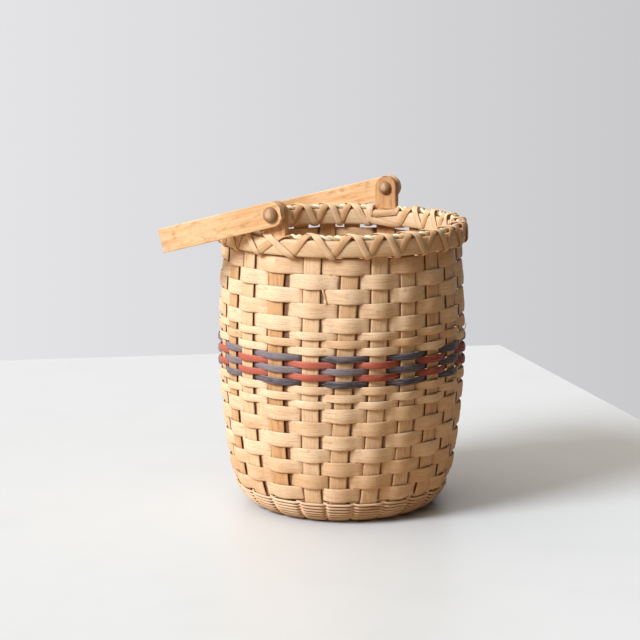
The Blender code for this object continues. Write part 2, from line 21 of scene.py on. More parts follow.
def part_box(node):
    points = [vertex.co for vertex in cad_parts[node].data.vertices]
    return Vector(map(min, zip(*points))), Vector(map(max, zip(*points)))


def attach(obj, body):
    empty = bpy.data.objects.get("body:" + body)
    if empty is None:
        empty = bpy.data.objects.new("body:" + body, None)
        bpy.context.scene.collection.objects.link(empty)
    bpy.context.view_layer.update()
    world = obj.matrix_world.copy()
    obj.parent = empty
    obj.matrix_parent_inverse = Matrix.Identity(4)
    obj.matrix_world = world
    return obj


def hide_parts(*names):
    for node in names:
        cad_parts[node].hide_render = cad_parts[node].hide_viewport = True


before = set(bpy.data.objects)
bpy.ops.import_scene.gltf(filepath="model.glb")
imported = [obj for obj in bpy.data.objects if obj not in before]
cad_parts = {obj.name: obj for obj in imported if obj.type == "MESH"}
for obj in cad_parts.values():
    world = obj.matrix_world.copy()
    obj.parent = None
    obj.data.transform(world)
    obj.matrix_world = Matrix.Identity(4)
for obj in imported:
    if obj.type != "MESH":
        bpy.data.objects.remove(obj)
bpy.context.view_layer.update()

MM = 0.001
UP = Vector((0.0, 0.0, 1.0))
ACROSS = Vector((1.0, 0.0, 0.0))
MERGE = 1e-6
LOG = logging.getLogger("swing_handle_basket")

Colour = tuple[float, float, float, float]
Node = bpy.types.Node
Socket = bpy.types.NodeSocket
Tree = bpy.types.NodeTree


class Body(Enum):
    """The two bodies of the frame that a piece can ride on."""

    BASKET = "basket"
    HANDLE = "handle"


class Side(Enum):
    """The two ears' sides of the basket, and the way that each faces along Y."""

    FRONT = -1
    BACK = 1


class Lashing(Enum):
    """The two lashing strands: the way that each winds, and the layer that it lies in."""

    FIRST = (1, 0)
    SECOND = (-1, 1)


class Grain(IntEnum):
    """Where each kind of strip starts on its pattern, so that no two show the same grain."""

    SPLINT = 0
    STAKE = 10
    ROW = 30
    TWINED = 60
    HOOP = 110
    ROPE = 130
    LASHING = 150
    EAR = 200


class Section(Enum):
    """Cross-sections of reed and rope: outer and inner roundness, and degrees per corner."""

    FLAT = (4.6, 4.6, (0, 26, 58, 90))
    OVAL = (2.3, 3.2, (0, 26, 58, 90))
    ROUND = (2.0, 2.0, (0, 45, 90))
    HALF_ROUND = (3.0, 9.0, (0, 16, 34, 60, 90))

    def outline(self) -> list[tuple[float, float]]:
        """Closed outline as shares of width and depth.

        Returns:
            Points from -0.5 to 0.5 each way, with the first repeated at the end.
        """
        outer, inner, corner = self.value
        turns = {turn for angle in corner
                 for turn in (angle, 180 - angle, 180 + angle, (360 - angle) % 360)}
        points = []
        for turn in sorted(turns) + [360]:
            across, out = math.cos(math.radians(turn)), math.sin(math.radians(turn))
            power = 2 / (outer if out > 0 else inner)
            points.append((math.copysign(abs(across) ** power, across) / 2,
                           math.copysign(abs(out) ** power, out) / 2))
        points[-1] = points[0]
        return points


@dataclass
class Station:
    """One cross-section of a strip: its middle, its side direction and its size.

    Cup is how far its edges fall back, and dip is -1 where it stands out most and 1 where it
    dives deepest, seen from outside; the finishes paint shade from it.  Tone is added to the
    strip's own, and the rows carry their painted light and shade by side in it.
    """

    place: Vector
    side: Vector
    width: float
    depth: float
    cup: float = 0.0
    dip: float = 0.0
    tone: float = 0.0


def radial(angle: float) -> Vector:
    """Unit vector away from the basket's axis at an angle round it."""
    return Vector((math.sin(angle), -math.cos(angle), 0.0))


def tangent(angle: float) -> Vector:
    """Unit vector along the wall, towards growing angles."""
    return Vector((math.cos(angle), math.sin(angle), 0.0))


class SectionPoint(NamedTuple):
    """A point of a path across the wall, in a plane through the basket's axis.

    Along is how far the path has come, radius is from the axis or from the stakes' middle,
    and out and up are the two parts of the outward normal.
    """

    along: float
    radius: float
    height: float
    out: float
    up: float

    def normal(self, angle: float) -> Vector:
        """Outward normal where the plane stands at an angle round the basket."""
        return radial(angle) * self.out + UP * self.up


def smooth_step(value: float, start: float = 0.0, span: float = 1.0) -> float:
    """Ease a value in and out.

    Args:
        value: what is eased.
        start: the value at which it leaves 0.
        span: how much further it reaches 1.

    Returns:
        A share from 0 to 1.
    """
    held = min(1.0, max(0.0, (value - start) / span))
    return held * held * (3 - 2 * held)


@dataclass(frozen=True)
class Wave:
    """Slow irregularity of hand work: how long its waves are and how far they reach.

    The gain brings noise, which seldom passes 0.6, to about 1, and the spacing keeps the
    waves of two seeds apart.
    """

    length: float
    reach: float
    seed: float = 0.0
    gain: float = 1.6
    spacing: tuple[float, float] = (7.31, 3.17)

    def at(self, place: float, number: float = 0.0) -> float:
        """Find how far a strip wavers at a place.

        Args:
            place: where along the strip, in the unit of the waves' length.
            number: which strip it is.

        Returns:
            An offset between about -reach and reach.
        """
        seed = self.seed + number
        return self.gain * self.reach * noise.noise(
            Vector((place / self.length, *(seed * step for step in self.spacing))))


@dataclass(frozen=True)
class Tones:
    """Tones that differ from strip to strip: their spread, and what picks them."""

    spread: float
    step: float
    seed: float
    first: int = 0

    def of(self, number: int) -> float:
        """Tone of the strip with this number, from pale to dark."""
        place = (self.first + number) * self.step
        return self.spread * noise.noise(Vector((place, self.seed, 0.0)))


# Finishes

def linear_colour(code: str) -> Colour:
    """Turn an sRGB hex colour into the linear colour that shaders take.

    Args:
        code: six hex digits, such as "e8c899".

    Returns:
        Linear red, green and blue with full alpha.
    """
    parts = [int(code[index:index + 2], 16) / 255 for index in (0, 2, 4)]
    linear = [part / 12.92 if part <= 0.04045 else ((part + 0.055) / 1.055) ** 2.4
              for part in parts]
    return (linear[0], linear[1], linear[2], 1.0)


def add_node(tree: Tree, kind: str, settings: dict[str | int, object] | None = None,
             links: dict[str | int, Socket] | None = None) -> Node:
    """Add one node to a tree.

    Args:
        tree: the node tree to add to.
        kind: the node's type name.
        settings: values by property name, or by input name or number.
        links: output sockets by the input name or number that they feed.

    Returns:
        The new node.
    """
    made = tree.nodes.new(kind)
    for key, value in (settings or {}).items():
        if isinstance(key, str) and hasattr(made, key):
            setattr(made, key, value)
        else:
            made.inputs[key].default_value = value
    for key, socket in (links or {}).items():
        tree.links.new(socket, made.inputs[key])
    return made


def seen_rays(tree: Tree) -> Socket:
    """Tell the rays that show a surface from the light that it throws.

    Args:
        tree: the node tree to work in.

    Returns:
        A socket that is 1 where the camera sees the surface, straight, in a gloss or
        through glass, and 0 for light.
    """
    ray = add_node(tree, "ShaderNodeLightPath").outputs
    seen = ray["Is Camera Ray"]
    for kind in ("Is Glossy Ray", "Is Transmission Ray"):
        seen = add_node(tree, "ShaderNodeMath", {"operation": "MAXIMUM"},
                        {0: seen, 1: ray[kind]}).outputs[0]
    return seen


class Trace(Enum):
    """What the mesh itself records at each point of a strip."""

    TONE = "tone"
    EDGE = "edge"
    DIP = "dip"


class Coordinates(Enum):
    """The coordinates that a pattern lies on: along the strip, or through the solid."""

    STRIP = "UV"
    SOLID = "Object"


@dataclass(frozen=True)
class Layer:
    """One colour that is laid on where its pattern is strong.

    The pattern is noise whose features have the given size in metres, plus reach times what
    the mesh records.  A layer has either or both.  It starts to show at low and has its full
    share at high.  On a strip the size runs along it and over it, and its third part is idle.
    Offset moves the noise, so that two layers differ, and relief raises the surface by it.
    """

    colour: str
    low: float
    high: float
    share: float
    size: tuple[float, float, float] | None = None
    detail: float = 2.0
    offset: float = 0.0
    trace: Trace | None = None
    reach: float = 1.0
    relief: bool = False


@dataclass(frozen=True)
class Finish:
    """A plain surface; its kinds add the layers of colour that the real one shows, and painted
    light and shade.
    """

    name: str
    slot: str
    face: str
    roughness: float = 0.55
    ior: float = 1.45
    specular: float = 0.45
    relief: float = 0.12 * MM
    relief_share: float = 0.6
    coordinates: Coordinates = Coordinates.STRIP

    def layers(self) -> tuple[Layer, ...]:
        """Colours over the face, the lowest first."""
        return ()

    def material(self) -> bpy.types.Material:
        """Make the node material, once.

        Returns:
            The material, named for what it is and how its surface was made.
        """
        if self.name in bpy.data.materials:
            return bpy.data.materials[self.name]
        made = bpy.data.materials.new(self.name)
        made.use_nodes = True
        tree = made.node_tree
        shader = tree.nodes["Principled BSDF"]
        shader.inputs["Base Color"].default_value = linear_colour(self.face)
        shader.inputs["Roughness"].default_value = self.roughness
        shader.inputs["IOR"].default_value = self.ior
        shader.inputs["Specular IOR Level"].default_value = self.specular
        colour = None
        for layer in self.layers():
            pattern = self.pattern(tree, layer)
            share = add_node(tree, "ShaderNodeMapRange", {
                "interpolation_type": "SMOOTHSTEP", 1: layer.low, 2: layer.high, 3: 0.0,
                4: layer.share}, {0: pattern})
            laid = add_node(tree, "ShaderNodeMix", {
                "data_type": "RGBA", 6: linear_colour(self.face),
                7: linear_colour(layer.colour)}, {0: share.outputs[0]})
            if colour:
                tree.links.new(colour, laid.inputs[6])
            colour = laid.outputs[2]
            tree.links.new(colour, shader.inputs["Base Color"])
            if layer.relief:
                bump = add_node(tree, "ShaderNodeBump", {
                    "Strength": self.relief_share, "Distance": self.relief},
                    {"Height": pattern})
                tree.links.new(bump.outputs[0], shader.inputs["Normal"])
        return made

    def pattern(self, tree: Tree, layer: Layer) -> Socket:
        """Lay out what decides where one layer shows.

        Args:
            tree: the material's node tree.
            layer: the layer.

        Returns:
            The socket of the pattern's strength.
        """
        links: dict[str | int, Socket] = {}
        if layer.size:
            place = add_node(tree, "ShaderNodeTexCoord")
            scaled = add_node(tree, "ShaderNodeMapping", {
                "Scale": tuple(1 / size for size in layer.size),
                "Location": (layer.offset,) * 3},
                {"Vector": place.outputs[self.coordinates.value]})
            noisy = add_node(tree, "ShaderNodeTexNoise", {"Scale": 1.0, "Detail": layer.detail},
                             {"Vector": scaled.outputs[0]})
            if not layer.trace:
                return noisy.outputs["Fac"]
            links[2] = noisy.outputs["Fac"]
        recorded = add_node(tree, "ShaderNodeAttribute", {"attribute_name": layer.trace.value})
        links[0] = recorded.outputs["Fac"]
        return add_node(tree, "ShaderNodeMath", {
            "operation": "MULTIPLY_ADD", 1: layer.reach, 2: 0.0}, links).outputs[0]


@dataclass(frozen=True)
class ReedFinish(Finish):
    """Rattan or grass: fibres along the strip, over a tone that differs from strip to strip."""

    shade: str = "cf9d69"
    fibre: str = "a87243"
    pore: str = "7f4f29"
    # Slit is the colour of the painted shade in a strip's slits; the edge, dip and slit shares
    # set how much painted shade lies along its edges, where it dives and in its slits.
    slit_shade: str = "5c3114"
    tone_reach: float = 0.75
    fibre_share: float = 0.5
    stain_share: float = 0.35
    edge_shade_share: float = 0.4
    dip_shade_share: float = 0.35
    slit_shade_share: float = 0.0
    fibre_length: float = 24 * MM
    fibre_width: float = 0.55 * MM

    def layers(self) -> tuple[Layer, ...]:
        """Colours over the face, the lowest first.

        Returns:
            Slow tone, which on the rows also carries painted light and shade by side, fibres,
            pores, stains, painted shade along the edges, and painted shade where the strip
            dives behind its neighbour, darkest in its slits.
        """
        return (
            Layer(self.shade, low=0.28, high=0.95, share=1.0, size=(46 * MM, 9 * MM, 1.0),
                  trace=Trace.TONE, reach=self.tone_reach),
            Layer(self.fibre, low=0.46, high=0.72, share=self.fibre_share,
                  size=(self.fibre_length, self.fibre_width, 1.0), detail=3.0, offset=4.0,
                  relief=True),
            Layer(self.pore, low=0.63, high=0.74, share=self.fibre_share,
                  size=(5.5 * MM, 0.42 * MM, 1.0), detail=1.0, offset=9.0),
            Layer(self.fibre, low=0.60, high=0.80, share=self.stain_share,
                  size=(9 * MM, 5 * MM, 1.0), detail=3.0, offset=17.0),
            # Painted shade: darker along the edges, darker where the strip dives behind its
            # neighbour, and darkest in its slits.
            Layer(self.fibre, low=0.86, high=1.0, share=self.edge_shade_share, trace=Trace.EDGE),
            Layer(self.fibre, low=0.1, high=0.6, share=self.dip_shade_share, trace=Trace.DIP),
            Layer(self.slit_shade, low=1.10, high=1.34, share=self.slit_shade_share,
                  size=(14 * MM, 30 * MM, 1.0), detail=1.0, offset=31.0, trace=Trace.DIP,
                  reach=1.6),
        )


@dataclass(frozen=True)
class BoardFinish(Finish):
    """Sawn and sanded hardwood: streaks along the board and brown flecks across them."""

    streak: str = "d7a067"
    fleck: str = "bd8149"
    fleck_share: float = 0.9

    def layers(self) -> tuple[Layer, ...]:
        """Colours over the face, the lowest first.

        Returns:
            Broad streaks, fine grain, and flecks of two sizes.
        """
        return (
            Layer(self.streak, low=0.38, high=0.72, share=0.8, size=(60 * MM, 5 * MM, 1.0),
                  detail=3.0, offset=3.0),
            Layer(self.streak, low=0.48, high=0.76, share=0.55,
                  size=(26 * MM, 0.8 * MM, 1.0), detail=4.0, offset=11.0, relief=True),
            Layer(self.fleck, low=0.52, high=0.74, share=0.75 * self.fleck_share,
                  size=(13 * MM, 5.5 * MM, 1.0), detail=4.0, offset=23.0),
            Layer(self.fleck, low=0.60, high=0.78, share=0.8 * self.fleck_share,
                  size=(6 * MM, 2 * MM, 1.0), detail=4.0, offset=23.0),
        )


@dataclass(frozen=True)
class TurnedFinish(Finish):
    """Turned hardwood: end grain that the turning cut across, in short upright lines."""

    line: str = "936a45"
    worn: str = "cfa77d"
    painted_top_light: str = "e0c29c"
    line_width: float = 1.2 * MM

    def layers(self) -> tuple[Layer, ...]:
        """Colours over the face, the lowest first.

        Returns:
            Pale worn patches, the lines of the grain, painted shade round a dome's rim and
            painted light on its top.
        """
        width = self.line_width
        return (
            Layer(self.worn, low=0.50, high=0.75, share=0.6,
                  size=(5 * width, 5 * width, 4 * width), offset=7.0),
            Layer(self.line, low=0.40, high=0.70, share=0.9,
                  size=(width, 12 * width, 7 * width), detail=4.0, relief=True),
            # Painted shade round a dome's rim and painted light on its top.
            Layer(self.line, low=0.5, high=0.95, share=0.7, trace=Trace.EDGE),
            Layer(self.painted_top_light, low=0.55, high=0.25, share=0.6, trace=Trace.EDGE),
        )


@dataclass(frozen=True)
class LacquerFinish(Finish):
    """Sprayed lacquer: one even colour with a barely seen cloudiness.

    It throws less light, and warmer, back at the basket than it shows: painted shade on the
    basket.
    """

    cloud: str = "d1d6d7"
    thrown_shade: str = "b89b7a"

    def layers(self) -> tuple[Layer, ...]:
        """Faint clouds a hand wide."""
        return (Layer(self.cloud, low=0.45, high=0.75, share=0.25, size=(90 * MM,) * 3),)

    def material(self) -> bpy.types.Material:
        """Make the node material, once.

        Returns:
            The material, pale where it is seen, and darker and warmer in the light that it
            throws, which is painted shade on the basket.
        """
        if self.name in bpy.data.materials:
            return bpy.data.materials[self.name]
        made = super().material()
        tree = made.node_tree
        base = tree.nodes["Principled BSDF"].inputs["Base Color"]
        colour = add_node(tree, "ShaderNodeMix", {
            "data_type": "RGBA", 6: linear_colour(self.thrown_shade)},
            {0: seen_rays(tree), 7: base.links[0].from_socket})
        tree.links.new(colour.outputs[2], base)
        return made


# Rattan's fibres are about 0.2 mm apart, finer than the picture shows, so they are drawn
# 0.55 mm wide, 0.7 mm on the hoops, and 0.9 mm on the dyed reeds, whose fibres stand out most.

# Flat rattan reed, split and drawn flat through a blade and left bare: matt and pale straw,
# with brown fibre lines and torn pores, with painted shade along its edges, and painted
# shade, warmer and darker, where it dives behind a stake.
WEAVER = ReedFinish("blade_cut_flat_rattan", "weaver_reed", "f9dcb6", shade="e3bd90",
                    fibre="bb8350", pore="8a542b", tone_reach=0.42, fibre_share=0.6,
                    stain_share=0.5, dip_shade_share=0.4, slit_shade_share=0.85)
# The same reed cut wide and thick for the stakes: browner, with longer and darker fibres,
# and painted shade along its edges and where the twining covers it.
STAKE = ReedFinish("blade_cut_wide_rattan", "stake_reed", "f2d0a4", shade="d8a977",
                   fibre="af7a49", pore="7f4f29", tone_reach=0.55, fibre_share=0.6,
                   stain_share=0.45, slit_shade_share=0.85)
# Flat oval reed dyed blue in a bath, with pale grey fibres: the rows paint it paler on the
# side towards the key light and a dark blue on the far side, painted light and shade, with
# painted shade along its edges and in its slits.
BLUE = ReedFinish("bath_dyed_blue_rattan", "blue_reed", "857b80", shade="3c353a",
                  fibre="a1979a", pore="332d31", slit_shade="2a2426", tone_reach=0.6, edge_shade_share=0.3,
                  fibre_share=0.7, stain_share=0.4, dip_shade_share=0.0, slit_shade_share=0.5,
                  fibre_length=15 * MM, fibre_width=0.9 * MM, specular=0.3)
# The same reed dyed red: a brick red, with the same painted light and shade.
RED = ReedFinish("bath_dyed_red_rattan", "red_reed", "bb6350", shade="7c2b1d",
                 fibre="c9836b", pore="6c261c", slit_shade="451b12", tone_reach=0.6, edge_shade_share=0.3,
                 fibre_share=0.65, stain_share=0.4, dip_shade_share=0.0, slit_shade_share=0.5,
                 fibre_length=15 * MM, fibre_width=0.9 * MM, specular=0.3)
# Round rattan reed, drawn through a die: matt, a little greyer, with painted shade where it
# passes behind a stake.
ROUND = ReedFinish("die_drawn_round_rattan", "round_reed", "f2d4b0", shade="d8b088",
                   fibre="a4774d", pore="6a4225", edge_shade_share=0.0, fibre_share=0.6,
                   slit_shade_share=0.7)
# Half round rattan reed, split from a round one: a smooth pale outside with few fibres.
HOOP = ReedFinish("split_half_round_rattan", "hoop_reed", "f3d6ad", shade="dfb586",
                  fibre="bf8a57", pore="96633a", tone_reach=0.3, fibre_width=0.7 * MM)
# Thin flat rattan, soaked and pulled tight as lashing: browner, with painted shade along its
# edges.
LASHING = ReedFinish("soaked_and_pulled_rattan", "lashing_reed", "eecba1", shade="d5a978",
                     fibre="9c6b40", pore="7a4d2a", edge_shade_share=0.8)
# Seagrass, dried and twisted in two strands: pale, dry and dull, with green brown streaks.
SEAGRASS = ReedFinish("dried_and_twisted_seagrass", "seagrass", "fbefd3", shade="dcc49a",
                      fibre="b99b6c", pore="917145", edge_shade_share=0.0, roughness=0.75)
# Hardwood strip, steam bent, sanded and waxed: honey colour and a soft sheen, with streaks
# of 2 to 5 mm that follow the bend and brown flecks of a few millimetres that break them up.
BENT_WOOD = BoardFinish("steam_bent_waxed_hardwood", "handle_wood", "efc999",
                        roughness=0.42, ior=1.47, specular=0.4, relief=0.1 * MM,
                        relief_share=0.4)
# The same wood sawn and sanded for the ears, not bent: duller, and darker and browner than
# the handle, which is painted shade.
SHADED_SAWN_WOOD = BoardFinish("shaded_sawn_waxed_hardwood", "handle_wood", "dcae7c", streak="c28c57",
                        fleck="a06c3e", roughness=0.5, ior=1.47, specular=0.35,
                        relief=0.1 * MM, relief_share=0.4)
# Brown hardwood, turned on a lathe and waxed: short dark lines of end grain on the domes,
# painted light on their tops and painted shade round their rims, and a soft highlight.
TURNED = TurnedFinish("lathe_turned_waxed_hardwood", "peg_wood", "b08760", roughness=0.48,
                      ior=1.5, specular=0.5, relief=0.1 * MM, relief_share=0.3,
                      coordinates=Coordinates.SOLID)
# Board with sprayed white lacquer: smooth and pale, with a faint blurred reflection; the
# light that it throws back is darker and warmer, painted shade on the basket.
LACQUER = LacquerFinish("sprayed_white_lacquer", "", "d9dedf", roughness=0.38, ior=1.5,
                        specular=0.5, coordinates=Coordinates.SOLID)


# Mesh making

BOARD_COLUMNS = 4
ROUNDING_STEPS = 3
SHARP_EDGE = math.radians(50)
CUTTER_STEPS = 32
CUTTER_LENGTH = 0.4
FLAT_FACE_WEIGHT = 100
# A board's round end stops this many degrees short of its tip, which closes it flat.
TIP_GAP = 7


def lay_map(faces: Iterable[bmesh.types.BMFace], uv: bmesh.types.BMLayerItem,
            table: dict[bmesh.types.BMVert, tuple[float, float]]) -> None:
    """Shade faces smooth and give them their places on the UV map.

    Args:
        faces: the faces to map.
        uv: the map's layer.
        table: the place of each vertex, in metres along a strip and over it.
    """
    for face in faces:
        face.smooth = True
        for loop in face.loops:
            loop[uv].uv = table[loop.vert]


def finished_mesh(name: str, bm: bmesh.types.BMesh) -> bpy.types.Mesh:
    """Make a mesh of a worked bmesh, which it frees.

    Args:
        name: the mesh's name.
        bm: the worked bmesh.

    Returns:
        The new mesh.
    """
    mesh = bpy.data.meshes.new(name)
    bm.to_mesh(mesh)
    bm.free()
    return mesh


def linked_object(name: str, data: bpy.types.ID) -> bpy.types.Object:
    """Put a mesh, a light or a camera in the scene.

    Args:
        name: the object's name.
        data: what it shows or does.

    Returns:
        The new object.
    """
    made = bpy.data.objects.new(name, data)
    bpy.context.scene.collection.objects.link(made)
    return made


class StripMesh:
    """A mesh made of strips, each a closed outline carried along its stations."""

    def __init__(self) -> None:
        """Start an empty mesh with its UV map and its edge, tone and dip attributes."""
        self.bm = bmesh.new()
        self.uv = self.bm.loops.layers.uv.new("UVMap")
        self.edge = self.bm.verts.layers.float.new("edge")
        self.tone = self.bm.verts.layers.float.new("tone")
        self.dip = self.bm.verts.layers.float.new("dip")

    def sweep(self, stations: Sequence[Station], section: Section, closed: bool = False,
              tone: float = 0.0, start: float = 0.0) -> None:
        """Add one strip.

        Args:
            stations: the cross-sections in order.
            section: the outline of the strip.
            closed: whether the last station joins the first.
            tone: -1 for the palest reed to 1 for the darkest.
            start: where the UV map begins along the strip, which sets its grain.
        """
        outline = section.outline()
        count = len(stations)
        rows = count + 1 if closed else count
        around = len(outline) - 1
        girth = [0.0]
        for first, second in zip(outline, outline[1:]):
            girth.append(girth[-1] + math.hypot(
                (second[0] - first[0]) * stations[0].width,
                (second[1] - first[1]) * stations[0].depth))
        bm = self.bm
        verts = bmesh.ops.create_grid(bm, x_segments=around, y_segments=rows - 1,
                                      size=1.0)["verts"]
        table: dict[bmesh.types.BMVert, tuple[float, float]] = {}
        length = start
        for row in range(rows):
            here = stations[row % count]
            after = stations[(row + 1) % count if closed else min(row + 1, count - 1)]
            before = stations[(row - 1) % count if closed else max(row - 1, 0)]
            along = (after.place - before.place).normalized()
            side = (here.side - along * here.side.dot(along)).normalized()
            out = along.cross(side)
            if row:
                length += (here.place - stations[(row - 1) % count].place).length
            for column, (across, depth) in enumerate(outline):
                vert = verts[row * (around + 1) + column]
                cupped = depth * here.depth - here.cup * (2 * across) ** 2
                vert.co = here.place + side * across * here.width + out * cupped
                # The finishes paint shade from edge and dip, and tone carries the rows' painted
                # light and shade by side.
                vert[self.edge] = abs(2 * across)
                vert[self.tone] = tone + here.tone
                vert[self.dip] = math.copysign(here.dip, here.dip * depth) if depth else 0.0
                table[vert] = (length, girth[column])
        lay_map({face for vert in verts for face in vert.link_faces}, self.uv, table)
        bmesh.ops.remove_doubles(bm, verts=verts, dist=MERGE)

    def piece(self, name: str, finish: Finish, body: Body,
              nodes: Sequence[str]) -> bpy.types.Object:
        """Close the ends and put the mesh in the scene over its nodes.

        Args:
            name: the piece's name.
            finish: the finish that dresses it.
            body: the body it rides on.
            nodes: the nodes of the frame that it stands for.

        Returns:
            The finished object.
        """
        open_edges = [edge for edge in self.bm.edges if edge.is_boundary]
        if open_edges:
            bmesh.ops.holes_fill(self.bm, edges=open_edges, sides=0)
        bmesh.ops.recalc_face_normals(self.bm, faces=self.bm.faces)
        return place_piece(name, finished_mesh(name, self.bm), finish, body, nodes)


def place_piece(name: str, mesh: bpy.types.Mesh, finish: Finish, body: Body,
                nodes: Sequence[str]) -> bpy.types.Object:
    """Link a mesh as a piece of the basket.

    Args:
        name: the piece's name.
        mesh: its mesh, in place.
        finish: the finish that dresses it.
        body: the body it rides on.
        nodes: the nodes of the frame that it stands for.

    Returns:
        The new object.
    """
    mesh.materials.append(finish.material())
    made = linked_object(name, mesh)
    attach(made, body.value)
    if nodes:
        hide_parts(*nodes)
    return made


def board_sheet(stations: Sequence[Station]) -> bpy.types.Mesh:
    """The middle surface of a board, with its UV map along it.

    Args:
        stations: middle, side vector and width along the board.

    Returns:
        The sheet's mesh, which has no thickness yet.
    """
    bm = bmesh.new()
    uv = bm.loops.layers.uv.new("UVMap")
    verts = bmesh.ops.create_grid(bm, x_segments=BOARD_COLUMNS,
                                  y_segments=len(stations) - 1, size=1.0)["verts"]
    table: dict[bmesh.types.BMVert, tuple[float, float]] = {}
    length = 0.0
    for row, here in enumerate(stations):
        if row:
            length += (here.place - stations[row - 1].place).length
        for column in range(BOARD_COLUMNS + 1):
            share = column / BOARD_COLUMNS - 0.5
            vert = verts[row * (BOARD_COLUMNS + 1) + column]
            vert.co = here.place + here.side * share * here.width
            table[vert] = (length, share * here.width)
    lay_map(bm.faces, uv, table)
    return finished_mesh("board", bm)


def hole_cutter(middle: Vector, radius: float) -> bpy.types.Mesh:
    """A long round cutter along Y.

    Args:
        middle: a point on its axis.
        radius: its radius.

    Returns:
        The cutter's mesh.
    """
    bm = bmesh.new()
    bmesh.ops.create_cone(bm, cap_ends=True, segments=CUTTER_STEPS, radius1=radius,
                          radius2=radius, depth=CUTTER_LENGTH,
                          matrix=Matrix.Translation(middle)
                          @ Matrix.Rotation(math.pi / 2, 4, "X"))
    return finished_mesh("hole", bm)


def board_mesh(stations: Sequence[Station], hole: Vector, radius: float, rounding: float,
               turn: Matrix | None = None) -> bpy.types.Mesh:
    """A flat board through stations, with a peg hole along Y and rounded edges.

    Args:
        stations: middle, side vector, width and thickness along the board.
        hole: a point on the hole's axis.
        radius: the hole's radius.
        rounding: how far the board's edges are rounded.
        turn: where the finished board goes, if it isn't built in its place.

    Returns:
        The board's mesh.
    """
    board = linked_object("board", board_sheet(stations))
    cutter = linked_object("hole", hole_cutter(hole, radius))
    wall = board.modifiers.new("thickness", "SOLIDIFY")
    wall.thickness = stations[0].depth
    wall.offset = 0.0
    wall.use_even_offset = True
    cut = board.modifiers.new("hole", "BOOLEAN")
    cut.operation = "DIFFERENCE"
    cut.object = cutter
    rounded = board.modifiers.new("rounding", "BEVEL")
    rounded.width = rounding
    rounded.segments = ROUNDING_STEPS
    rounded.limit_method = "ANGLE"
    rounded.angle_limit = SHARP_EDGE
    rounded.use_clamp_overlap = False
    graph = bpy.context.evaluated_depsgraph_get()
    made = bpy.data.meshes.new_from_object(board.evaluated_get(graph))
    for helper in (board, cutter):
        bpy.data.objects.remove(helper)
    if turn:
        made.transform(turn)
    made.shade_smooth()
    return made


def round_end(middle: Vector, along: Vector, width: float, thickness: float,
              steps: int) -> list[Station]:
    """Stations of the half round end of a board that lies across X, from its full width out.

    Args:
        middle: centre of the half round.
        along: unit vector towards the tip.
        width: width of the board.
        thickness: thickness of the board.
        steps: how many stations.

    Returns:
        The stations, the widest first.
    """
    stations = []
    for step in range(steps):
        turn = math.radians(90 - (90 - TIP_GAP) * step / (steps - 1))
        stations.append(Station(middle + along * (width / 2 * math.cos(turn)), ACROSS,
                                width * math.sin(turn), thickness))
    return stations


def turned_mesh(profile: Sequence[tuple[float, float]], steps: int,
                turn: Matrix) -> bpy.types.Mesh:
    """A body turned about Z from its profile, then put in its place.

    Args:
        profile: radius and height from pole to pole.
        steps: how many steps the full turn takes.
        turn: where the finished body goes.

    Returns:
        The turned mesh.
    """
    bm = bmesh.new()
    edge = bm.verts.layers.float.new("edge")
    widest = max(radius for radius, height in profile)
    verts = [bm.verts.new((radius, 0.0, height)) for radius, height in profile]
    edges = [bm.edges.new(pair) for pair in zip(verts, verts[1:])]
    bmesh.ops.spin(bm, geom=verts + edges, cent=(0, 0, 0), axis=(0, 0, 1),
                   angle=2 * math.pi, steps=steps, use_merge=True)
    bmesh.ops.remove_doubles(bm, verts=bm.verts, dist=MERGE)
    bmesh.ops.recalc_face_normals(bm, faces=bm.faces)
    # The share of the widest radius, from which the turned finish paints light on a dome's top
    # and shade round its rim.
    for vert in bm.verts:
        vert[edge] = vert.co.xy.length / widest
    for face in bm.faces:
        face.smooth = True
    mesh = finished_mesh("turned", bm)
    mesh.transform(turn)
    return mesh


def add_weighted_normals(piece: bpy.types.Object) -> None:
    """Shade flat faces flat and their rounded edges smooth.

    Args:
        piece: the finished board.
    """
    smooth = piece.modifiers.new("normals", "WEIGHTED_NORMAL")
    smooth.mode = "FACE_AREA"
    smooth.weight = FLAT_FACE_WEIGHT


# The shape that all pieces share

